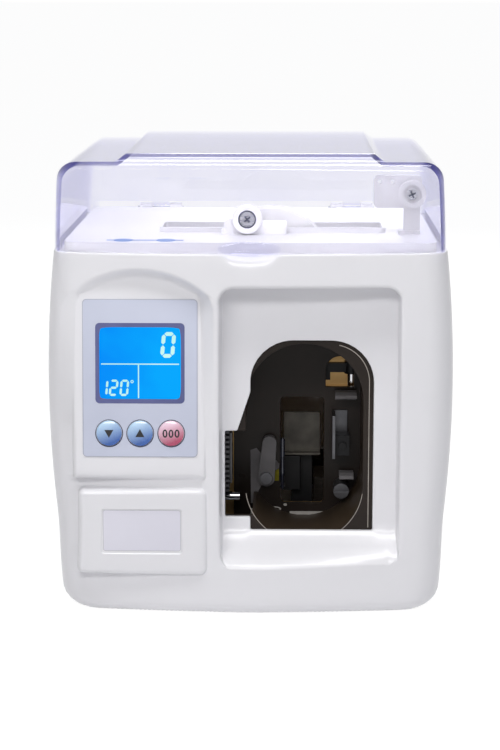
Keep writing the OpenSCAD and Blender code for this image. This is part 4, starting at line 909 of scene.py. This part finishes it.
lcd_blue = glowing("display_blue", (0.0, 0.26, 0.94), (0.0, 0.38, 0.98), 1.0, 0.6)
lcd_white = glowing("display_segment", (0.52, 0.93, 0.86), (0.66, 1.0, 0.93), 0.95)
dress("display_glass", lcd_blue, "glass_blue", 0.2)
display_lines = segment_bars(*count_digit)
for digit, x in (("1", -90.4), ("2", -84.4), ("0", -78.0)):
    display_lines += segment_bars(digit, x, heat_z, heat_w, heat_h, heat_bar)
degree_mark = (circle_line(degree_x, degree_z, degree_r),
               circle_line(degree_x, degree_z, degree_hole_r))
display_lines += [bar_between(-88.8, 13.1, -42.2, 13.8), bar_between(-66.8, -7.0, -66.1, 13.1),
                  degree_mark]
printed("display_figures", display_lines, on_glass, lcd_white, "root", "glass_blue")

# ---------------------------------------------------------------------------
# Keys: three domed caps in clear-coated blue and rose, coloured with painted
# light: pale at the upper left as a painted highlight, deep at the lower right
# as painted shade. Each sits in a dark printed ring on the film, which is drawn
# thicker at the lower right as painted shade under the dome. Two carry an
# arrow, the third three noughts, in black ink.
# ---------------------------------------------------------------------------
key_pitch, key_z, key_hole_r, dome_r, dome_rise = 18.6, -28.0, 7.9, 24.0, 2.2
# The rings' outer edge is set off to the lower right: painted shade that the dome casts on the film.
key_ring_w, ring_shade_dx, ring_shade_dz = 0.42, 0.06, -0.12     # a little thicker at the lower right
arrow = even([(-2.7, -2.1), (2.7, -2.1), (0, 2.7)], 0.7)
arrow_down = [(x, -z) for x, z in arrow[::-1]]
noughts = [(circle_line(x, 0, 2.5, 20, 0.6), circle_line(x, 0, 1.6, 20, 0.38)) for x in (-3.6, 0, 3.6)]


def domed_key_painted_light(name, pale, deep):
    """Key colour with painted light: pale at the upper left as a painted highlight and deep at the
    lower right as painted shade, under a thick clear coat.
    """
    mat, add, join = new_material(name)
    coord = add("ShaderNodeTexCoord")
    # The slant towards the upper left is where painted light makes the cap paler.
    lean = add("ShaderNodeVectorMath")
    lean.operation = "DOT_PRODUCT"
    lean.inputs[1].default_value = (-0.35, 0, 0.9)
    join(coord.outputs["Generated"], lean.inputs[0])
    speckle = noise(add, join, coord.outputs["Object"], 1500, 2.0)
    mixed = add("ShaderNodeMath")
    mixed.operation = "MULTIPLY_ADD"
    mixed.inputs[1].default_value = 0.12
    join(speckle.outputs["Fac"], mixed.inputs[0])
    join(lean.outputs["Value"], mixed.inputs[2])
    tone = ramp(add, deep, pale, 0.0, 0.75)
    join(mixed.outputs[0], tone.inputs["Fac"])
    bsdf = add("ShaderNodeBsdfPrincipled")
    bsdf.inputs["Roughness"].default_value = 0.25
    bsdf.inputs["Coat Weight"].default_value = 0.9
    bsdf.inputs["Coat Roughness"].default_value = 0.06
    join(tone.outputs["Color"], bsdf.inputs["Base Color"])
    out = add("ShaderNodeOutputMaterial")
    join(bsdf.outputs[0], out.inputs["Surface"])
    return mat


def on_dome(cx):
    """Places on the domed face of the key at cx."""
    def place(x, z, out):
        bulge = dome_r - dome_rise - sqrt(dome_r ** 2 - x * x - z * z)
        return on_console(cx + x, bulge - out, key_z + z)
    return place


blue_key = domed_key_painted_light("blue_key", (0.50, 0.70, 0.90), (0.001, 0.09, 0.42))
rose_key = domed_key_painted_light("rose_key", (0.86, 0.62, 0.74), (0.45, 0.03, 0.11))
# Dark navy of the printed rings round the keys, whose thicker lower right is painted shade, and painted
# shade for the knob's counterbore and the screws' cross recesses.
dark_ring_and_shade = finish("dark_ring_and_painted_shade", (0.010, 0.014, 0.045), (0.022, 0.028, 0.075), 0.3, patch=60)
ink = finish("black_ink", (0.006, 0.006, 0.008), (0.012, 0.012, 0.015), 0.35, patch=80)
for name, key_cx, mat, slot, sign in [
        ("key_down", console_cx - key_pitch, blue_key, "key_blue", [(arrow_down, None)]),
        ("key_up", console_cx, blue_key, "key_blue", [(arrow, None)]),
        ("key_clear", console_cx + key_pitch, rose_key, "key_pink", noughts)]:
    dress(name, mat, slot, 0.3)
    printed(name + "_sign", sign, on_dome(key_cx), ink, name, slot)
    # Outer circle set off to the lower right: painted shade under the dome.
    outer = circle_line(key_cx + ring_shade_dx, key_z + ring_shade_dz, key_hole_r + key_ring_w, 48)
    hole = circle_line(key_cx, key_z, key_hole_r, 48)
    printed(name + "_ring", [(outer, hole)], on_film, dark_ring_and_shade, "root", "bezel", 0.12)

# ---------------------------------------------------------------------------
# Blank label: a plain paper label with a fine grey border, stuck in the
# shallow recess of the lower pad.
# ---------------------------------------------------------------------------
label_cx, label_cz = (label[0] + label[2]) / 2, (label[1] + label[3]) / 2
label_w, label_h = label[2] - label[0], label[3] - label[1]
paper_less, border_less = 1.6, 0.9  # how much smaller than the recess the paper and its border are
paper_r, border_paper_r = 1.2, 1.5
label_paper = finish("label_paper", (0.72, 0.71, 0.79), (0.78, 0.77, 0.85), 0.45, grain=2400, patch=14)
label_line = finish("label_line", (0.50, 0.50, 0.54), (0.58, 0.58, 0.62), 0.5, patch=14)


def on_plane(y):
    """Places on the upright plane at y, out towards the front."""
    return lambda x, z, out: Vector((x, y - out, z)) * mm


on_label = on_plane(pad_y + label_depth)
paper_line = round_box(label_cx, label_cz, label_w - paper_less, label_h - paper_less, paper_r)
paper_border = round_box(label_cx, label_cz, label_w - border_less, label_h - border_less,
                         border_paper_r)
printed("blank_label", [(paper_line, None)], on_label, label_paper, "root", "overlay", 0.15)
printed("label_edge", [(paper_border, paper_line)], on_label, label_line, "root", "overlay", 0.1)

# ---------------------------------------------------------------------------
# Control board: a green glass-fibre circuit board behind the console, which
# carries the display and the switches of the keys.
# ---------------------------------------------------------------------------
board_green = finish("circuit_board", (0.010, 0.07, 0.025), (0.018, 0.11, 0.04), 0.4, patch=90)
dress("control_board", board_green, "board")

# ---------------------------------------------------------------------------
# Deck mark: two blue dots on a thin line, in printing ink, on the deck in
# front of the slot that the paper roll stands in.
# ---------------------------------------------------------------------------
mark_dot_r, mark_dot_back, mark_line_back, mark_line = 5.8, 4.8, 5.2, 0.8
marker_blue = finish("marker_blue", (0.05, 0.16, 0.45), (0.08, 0.22, 0.55), 0.4, patch=50)
mark_low, mark_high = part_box("slot_marker")
mark_x0, mark_x1, mark_back = mark_low[0] / mm, mark_high[0] / mm, mark_high[1] / mm
mark_z = mark_low[2] / mm


def on_deck(x, y, out):
    return Vector((x, y, mark_z + out)) * mm


marks = [(circle_line(x, mark_back - mark_dot_back, mark_dot_r, 40), None)
         for x in (mark_x0 + 10, mark_x1 - 10.5)]
marks.append(bar_between(mark_x0, mark_back - mark_line_back, mark_x1,
                         mark_back - mark_line_back + mark_line))
deck_mark = printed("deck_mark", marks, on_deck, marker_blue, "root", "marker", 0.3)
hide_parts("slot_marker")

# ---------------------------------------------------------------------------
# Retainer knob: a white moulded knob on a bracket in front of the paper roll,
# which keeps the roll in place. A steel cross-head screw holds it; the dark
# ring round the screw is painted shade of its counterbore, and the dark cross
# on its head is painted shade of its cross recess.
# ---------------------------------------------------------------------------
knob_ring_r, knob_ring_hole_r = 5.5, 4.75
cross_half, cross_arm = 2.3, 0.5
white_part = finish("white_part", (0.80, 0.79, 0.80), (0.86, 0.85, 0.86), 0.35, grain=1200,
                    bump=0.05, patch=30)


def front_middle(name):
    """The middle of a node's front, in millimetres: x, y, z."""
    low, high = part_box(name)
    return (low[0] + high[0]) / 2 / mm, low[1] / mm, (low[2] + high[2]) / 2 / mm


def cross_line(cx, cz, half, arm, turn):
    """Outline of a cross recess: arms of the given half length and half width."""
    corner = [(arm, arm), (arm, half), (-arm, half), (-arm, arm), (-half, arm), (-half, -arm),
              (-arm, -arm), (-arm, -half), (arm, -half), (arm, -arm), (half, -arm), (half, arm)]
    c, s = cos(radians(turn)), sin(radians(turn))
    return [(cx + x * c - z * s, cz + x * s + z * c) for x, z in corner]


# A dark cross laid flat on a screw's head: painted shade standing in for its cross recess.
def painted_cross_shade(screw, body, turn):
    x, y, z = front_middle(screw)
    printed(screw + "_recess", [(cross_line(x, z, cross_half, cross_arm, turn), None)], on_plane(y),
            dark_ring_and_shade, body, "dark_plastic", 0.05)


dress("retainer_bracket", white_part, "white_plastic", 0.5)
dress("retainer_knob", white_part, "white_plastic", 0.6)
dress("knob_screw", steel, "steel", 0.2)
knob_x, knob_y, knob_z = front_middle("retainer_knob")
# A dark ring round the screw: painted shade of the counterbore in the knob.
counterbore_shade = (circle_line(knob_x, knob_z, knob_ring_r, 40),
             circle_line(knob_x, knob_z, knob_ring_hole_r, 40))
printed("counterbore_shade", [counterbore_shade], on_plane(knob_y), dark_ring_and_shade, "knob", "dark_plastic", 0.1)
painted_cross_shade("knob_screw", "knob", 38)

# ---------------------------------------------------------------------------
# Side bracket: a white moulded angle with a ring boss, at the right of the
# roll slot, held by one steel cross-head screw. The screw's cross is a dark
# shape on its head: painted shade of the recess.
# ---------------------------------------------------------------------------
bracket_white = finish("bracket_white", (0.50, 0.49, 0.50), (0.60, 0.59, 0.60), 0.35, patch=30)
dress("side_bracket", bracket_white, "white_plastic", 0.5)
dress("bracket_screw", steel, "steel", 0.2)
painted_cross_shade("bracket_screw", "root", 24)

# ---------------------------------------------------------------------------
# Paper roll: 20 mm paper tape wound on a white hub, which turns on a steel
# axle. It hangs in the slot of the deck, over the tape track.
# ---------------------------------------------------------------------------
paper = finish("paper_tape", (0.72, 0.71, 0.70), (0.80, 0.79, 0.78), 0.75, grain=1800, bump=0.3,
               patch=40, stretch=(1, 14, 1))
dress("paper_roll", paper, "paper", 0.1)
dress("reel_hub", white_part, "white_plastic", 0.4)
dress("reel_axle", steel, "steel", 0.3)

# ---------------------------------------------------------------------------
# Tape track: two smoked plates with an oval rail between them, round which the
# tape is led. Narrow light lines along the front plate's edges are painted
# highlights, where the edges catch the light.
# ---------------------------------------------------------------------------
oval_x, oval_z, oval_r = 33.0, 76.25, 36.0
window_edge_in, window_edge_foot = 2.7, 1.0
front_plate_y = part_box("track_front_plate")[0][1] / mm
back_plate_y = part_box("track_back_plate")[0][1] / mm
smoked = finish("smoked_plate", (0.016, 0.012, 0.010), (0.030, 0.022, 0.018), 0.3, patch=20,
                shine=0.15)
track_brown = finish("track_brown", (0.030, 0.020, 0.014), (0.065, 0.045, 0.028), 0.35, patch=14,
                     shine=0.2)
# Light tone for the painted highlights along the front plate's edges.
edge_highlight = finish("painted_edge_highlight", (0.30, 0.27, 0.24), (0.44, 0.40, 0.36), 0.3, patch=80, metal=0.5)


def edge_line(name, path, width, mat):
    """Narrow raised line on the front plate along an open path."""
    place, raised = on_plane(front_plate_y), 0.06
    points = [Vector(p) for p in path]
    verts, faces = [], []
    for i, p in enumerate(points):
        along = (points[min(i + 1, len(points) - 1)] - points[max(i - 1, 0)]).normalized()
        side = Vector((-along.y, along.x)) * width / 2
        verts += [place(*(p + side), 0), place(*(p + side), raised), place(*(p - side), raised),
                  place(*(p - side), 0)]
    for i in range(len(points) - 1):
        for j in range(4):
            k = (j + 1) % 4
            faces.append((4 * i + j, 4 * i + 4 + j, 4 * i + 4 + k, 4 * i + k))
    end = len(verts) - 4
    faces += [(0, 1, 2, 3), (end + 3, end + 2, end + 1, end)]
    obj = new_mesh(name, verts, faces)
    obj.data.materials.append(mat)
    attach(obj, "root")


dress("track_front_plate", smoked, "dark_plate", 0.4)
dress("track_rail", track_brown, "dark_plate", 0.3)
dress("track_back_plate", smoked, "dark_plate", 0.4)
# Painted highlights along the oval's edge and the window's right edge.
edge_line("oval_edge", arc_points(oval_x, oval_z, oval_r, 188, 352, 60), 0.35, edge_highlight)
window_edge_x = window_x - window_edge_in
window_edge_path = [(window_edge_x, window_z0 + window_edge_foot),
                    (window_edge_x, (window_z0 + window_z1) / 2)]
window_edge_path += arc_points(window_x - window_r, window_z1 - window_r, window_r - window_edge_in,
                               0, 78, 24)
edge_line("window_edge", window_edge_path, 0.45, edge_highlight)

# ---------------------------------------------------------------------------
# Throat liner: a grey moulding on the back plate, with a yellow felt pad, and
# beside it light-grey marks of painted light, where light shows through slots
# and along a hole's rim.
# ---------------------------------------------------------------------------
liner_corners = [(1.9, 47.6), (3.9, 55.8), (7.1, 62.4), (11.4, 67.4), (17.0, 71.1), (17.4, 74.0),
                 (15.4, 76.4), (9.8, 77.6), (5.8, 80.5), (2.6, 84.5), (-1.3, 83.0), (-1.0, 47.6)]
felt_corners = [(9.9, 62.4), (17.2, 62.9), (17.0, 70.9), (13.1, 68.2)]
# Light-grey slot and ring shapes: painted light on the back plate.
slots = [bar_between(24.2, 40.2, 55.3, 42.4),
         (circle_line(13.5, 43.9, 1.7, 24, 3.0), circle_line(13.5, 43.9, 1.0, 24, 4.0)),
         (circle_line(21.3, 46.8, 0.9, 16, 1.3), None), bar_between(-1.2, 40.6, 1.4, 44.3)]
liner_grey = finish("liner_grey", (0.13, 0.12, 0.125), (0.23, 0.22, 0.225), 0.5, patch=60, shine=0.2)
felt_yellow = finish("yellow_felt", (0.16, 0.14, 0.01), (0.36, 0.32, 0.03), 0.9, grain=2400, bump=0.4,
                     patch=160, shine=0.1)
# Light tone for the painted light in the slots and on the hole's rim.
painted_slot_light = finish("painted_slot_light", (0.52, 0.50, 0.46), (0.66, 0.64, 0.60), 0.4, patch=120)
on_back = on_plane(back_plate_y)
printed("throat_liner", [(even(liner_corners, 3.0), None)], on_back, liner_grey, "root",
        "grey_plastic", 0.14)
printed("felt_pad", [(even(felt_corners, 2.0), None)], on_back, felt_yellow, "root",
        "grey_plastic", 0.2)
printed("painted_slot_marks", slots, on_back, painted_slot_light, "root", "steel", 0.1)

# ---------------------------------------------------------------------------
# Guide ledges: two grey tongues, pressed out of the back plate and bent
# forwards, that keep the notes off it.
# ---------------------------------------------------------------------------
ledge_reach, ledge_root = 13.0, 0.4


def bent_sheet(name, profile, x0, x1, mat, thick=0.8):
    """Folded sheet: the profile runs in Y and Z, is drawn out from x0 to x1 and given its gauge."""
    verts = [Vector((x, y, z)) * mm for y, z in profile for x in (x0, (x0 + x1) / 2, x1)]
    faces = [(3 * i + j, 3 * i + j + 1, 3 * i + 4 + j, 3 * i + 3 + j)
             for i in range(len(profile) - 1) for j in (0, 1)]
    obj = new_mesh(name, verts, faces)
    solid = obj.modifiers.new("gauge", "SOLIDIFY")
    solid.thickness = thick * mm
    solid.offset = 0
    bevel = obj.modifiers.new("edges", "BEVEL")
    bevel.width = 0.25 * thick * mm
    bevel.segments = 2
    obj.data.materials.append(mat)
    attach(obj, "root")


for name, x0, x1, z, drop in (("lower_ledge", 55.8, 65.0, 70.0, 3.4),
                              ("upper_ledge", 53.0, 66.6, 122.6, 6.0)):
    root_y = back_plate_y - ledge_root
    ledge = [(root_y, z - drop), (root_y, z - 1), (root_y - 1, z), (back_plate_y - 9, z),
             (back_plate_y - 12, z - 1.2), (back_plate_y - ledge_reach, z - 3)]
    bent_sheet(name, ledge, x0, x1, liner_grey)

# ---------------------------------------------------------------------------
# Mechanism plate and cover sheet: yellow-passivated zinc on steel. The plate
# carries the sealing head and the drives, and the folded sheet covers them
# behind the window's arch. The sheet is given a faint glow of painted light.
# ---------------------------------------------------------------------------
cover_fold = [(-15.0, 161), (-14, 160), (8, 160), (9, 159), (9, 121), (8, 120), (2, 120)]
yellow_zinc = finish("yellow_zinc", (0.30, 0.19, 0.08), (0.46, 0.31, 0.14), 0.35, metal=0.8, grain=700,
                     bump=0.08, patch=40)
# A copy that glows a little: painted light, for the light that falls on the sheet behind the window's
# arch.
painted_light_zinc = yellow_zinc.copy()       # with a little glow, for the light that reaches the real sheet
painted_light_zinc.name = "yellow_zinc_painted_light"
painted_light_bsdf = next(node for node in painted_light_zinc.node_tree.nodes if node.type == "BSDF_PRINCIPLED")
painted_light_bsdf.inputs["Emission Color"].default_value = (0.30, 0.19, 0.08, 1)
painted_light_bsdf.inputs["Emission Strength"].default_value = 0.45
dress("mechanism_plate", yellow_zinc, "zinc", 0.3)
bent_sheet("cover_sheet", cover_fold, 42, 78, painted_light_zinc)

# ---------------------------------------------------------------------------
# Note stop and tape chute: a dull aluminium plate that the notes are pushed
# against, on a black moulded bracket, and the steel chute that the tape
# comes out of.
# ---------------------------------------------------------------------------
stop_tone = finish("stop_plate", (0.07, 0.064, 0.056), (0.15, 0.14, 0.12), 0.45, metal=0.3, grain=900,
                   bump=0.12, patch=70, shine=0.2)
black_part = finish("black_part", (0.012, 0.012, 0.013), (0.028, 0.028, 0.030), 0.42, grain=1200,
                    bump=0.15, patch=40, shine=0.2)
dress("note_stop", stop_tone, "aluminium", 0.3)
dress("stop_bracket", black_part, "dark_plastic", 0.4)
dress("tape_chute", steel, "steel", 0.2)

# ---------------------------------------------------------------------------
# Guide finger and press lever: black and grey mouldings, the finger on a
# chromed shaft, that lead the tape round the notes and press them down.
# ---------------------------------------------------------------------------
chrome = finish("chrome", (0.62, 0.62, 0.64), (0.72, 0.72, 0.74), 0.08, metal=1.0, patch=60)
grey_part = finish("grey_part", (0.13, 0.125, 0.13), (0.20, 0.19, 0.195), 0.45, patch=40, shine=0.2)
dress("guide_finger", black_part, "dark_plastic", 0.4)
dress("finger_shaft", chrome, "chrome", 0.2)
dress("press_lever", grey_part, "grey_plastic", 0.4)

# ---------------------------------------------------------------------------
# Note sensor and anvil: a black moulded sensor on a dark steel bracket, and the
# dark steel pins that the tape is sealed against.
# ---------------------------------------------------------------------------
dark_steel = finish("dark_steel", (0.07, 0.07, 0.075), (0.15, 0.15, 0.16), 0.35, metal=0.9, grain=1800,
                    bump=0.08, patch=60)
dress("note_sensor", black_part, "dark_plastic", 0.4)
dress("sensor_bracket", dark_steel, "steel", 0.2)
dress("anvil_pin", dark_steel, "steel", 0.3)

# ---------------------------------------------------------------------------
# Guide pin: a turned, blued steel pin with two collars, upright in front of the
# press lever, on a small foot that is fixed to the back plate.
# ---------------------------------------------------------------------------
pin_x, pin_z0, pin_z1 = 19.4, 59.5, 93.0
pin_y = back_plate_y - 8.6          # clear of the lever, which swings behind it
pin_tip_r, pin_r, collar_r, pin_n = 0.7, 1.1, 1.5, 32
foot_z, foot_half, foot_lap, foot_gauge = pin_z0 + 1.5, 1.6, 0.8, 1.6
pin_profile = [(pin_tip_r, pin_z0), (pin_r, pin_z0 + 0.4), (pin_r, pin_z0 + 9),
               (collar_r, pin_z0 + 9.3), (collar_r, pin_z0 + 13), (pin_r, pin_z0 + 13.3),
               (pin_r, pin_z1 - 12), (collar_r, pin_z1 - 11.7), (collar_r, pin_z1 - 0.5),
               (pin_r, pin_z1)]
pin_blued = finish("blued_pin", (0.006, 0.008, 0.018), (0.02, 0.025, 0.045), 0.22, metal=0.2, patch=120,
                   coat=0.6)
pin_verts = []
for r, z in pin_profile:
    for i in range(pin_n):
        angle = 2 * pi * i / pin_n
        pin_verts.append(Vector((pin_x + r * cos(angle), pin_y + r * sin(angle), z)) * mm)
guide_pin = new_mesh("guide_pin", pin_verts, ring_faces(len(pin_profile), pin_n))
shade_smooth(guide_pin)
even_normals(guide_pin)
guide_pin.data.materials.append(pin_blued)
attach(guide_pin, "root")
bent_sheet("pin_foot", [(back_plate_y - 0.3, foot_z), (pin_y + foot_lap, foot_z)], pin_x - foot_half,
           pin_x + foot_half, dark_steel, foot_gauge)

# ---------------------------------------------------------------------------
# Sealing head: a finned heater block with its plate and a cutting blade, on a
# zinc-plated bracket that slides on two chromed rods. A steel roller follows
# the cam.
# ---------------------------------------------------------------------------
dress("head_bracket", zinc, "zinc", 0.3)
dress("guide_rod", chrome, "chrome", 0.2)
dress("heater_block", dark_steel, "aluminium", 0.3)
dress("heater_plate", dark_steel, "brass", 0.2)
dress("knife_blade", dark_steel, "steel", 0.1)
dress("follower_roller", steel, "steel", 0.2)

# ---------------------------------------------------------------------------
# Cam drive: a steel cam on its shaft, turned by a nylon gear and the brass
# pinion of a zinc-plated motor.
# ---------------------------------------------------------------------------
nylon = finish("nylon", (0.66, 0.66, 0.62), (0.74, 0.74, 0.70), 0.45, patch=40)
brass = finish("brass", (0.52, 0.36, 0.10), (0.66, 0.48, 0.16), 0.25, metal=1.0, patch=60)
dress("cam", steel, "steel", 0.2)
dress("cam_gear", nylon, "gear_white", 0.1)
dress("cam_motor", zinc, "zinc", 0.5)
dress("cam_pinion", brass, "brass", 0.1)

# ---------------------------------------------------------------------------
# Tape feed: a rubber feed roller and a rubber pinch roller, driven by a nylon
# gear and the brass pinion of a second motor.
# ---------------------------------------------------------------------------
dress("feed_roller", rubber, "rubber", 0.3)
dress("feed_gear", nylon, "gear_white", 0.1)
dress("pinch_roller", rubber, "rubber", 0.3)
dress("feed_motor", zinc, "zinc", 0.5)
dress("feed_pinion", brass, "brass", 0.1)

# ---------------------------------------------------------------------------
# Power supply: a varnished iron transformer and a circuit board on the base
# plate, and the black power socket and rocker switch in the rear cover.
# ---------------------------------------------------------------------------
iron = finish("varnished_iron", (0.06, 0.05, 0.045), (0.12, 0.10, 0.085), 0.4, metal=0.4, patch=60,
              stretch=(1, 1, 20))
dress("transformer", iron, "iron", 0.5)
dress("power_board", board_green, "board", 0.2)
dress("power_inlet", black_part, "dark_plastic", 0.3)
dress("power_switch", black_part, "dark_plastic", 0.3)
dress("switch_rocker", black_part, "dark_plastic", 0.3)
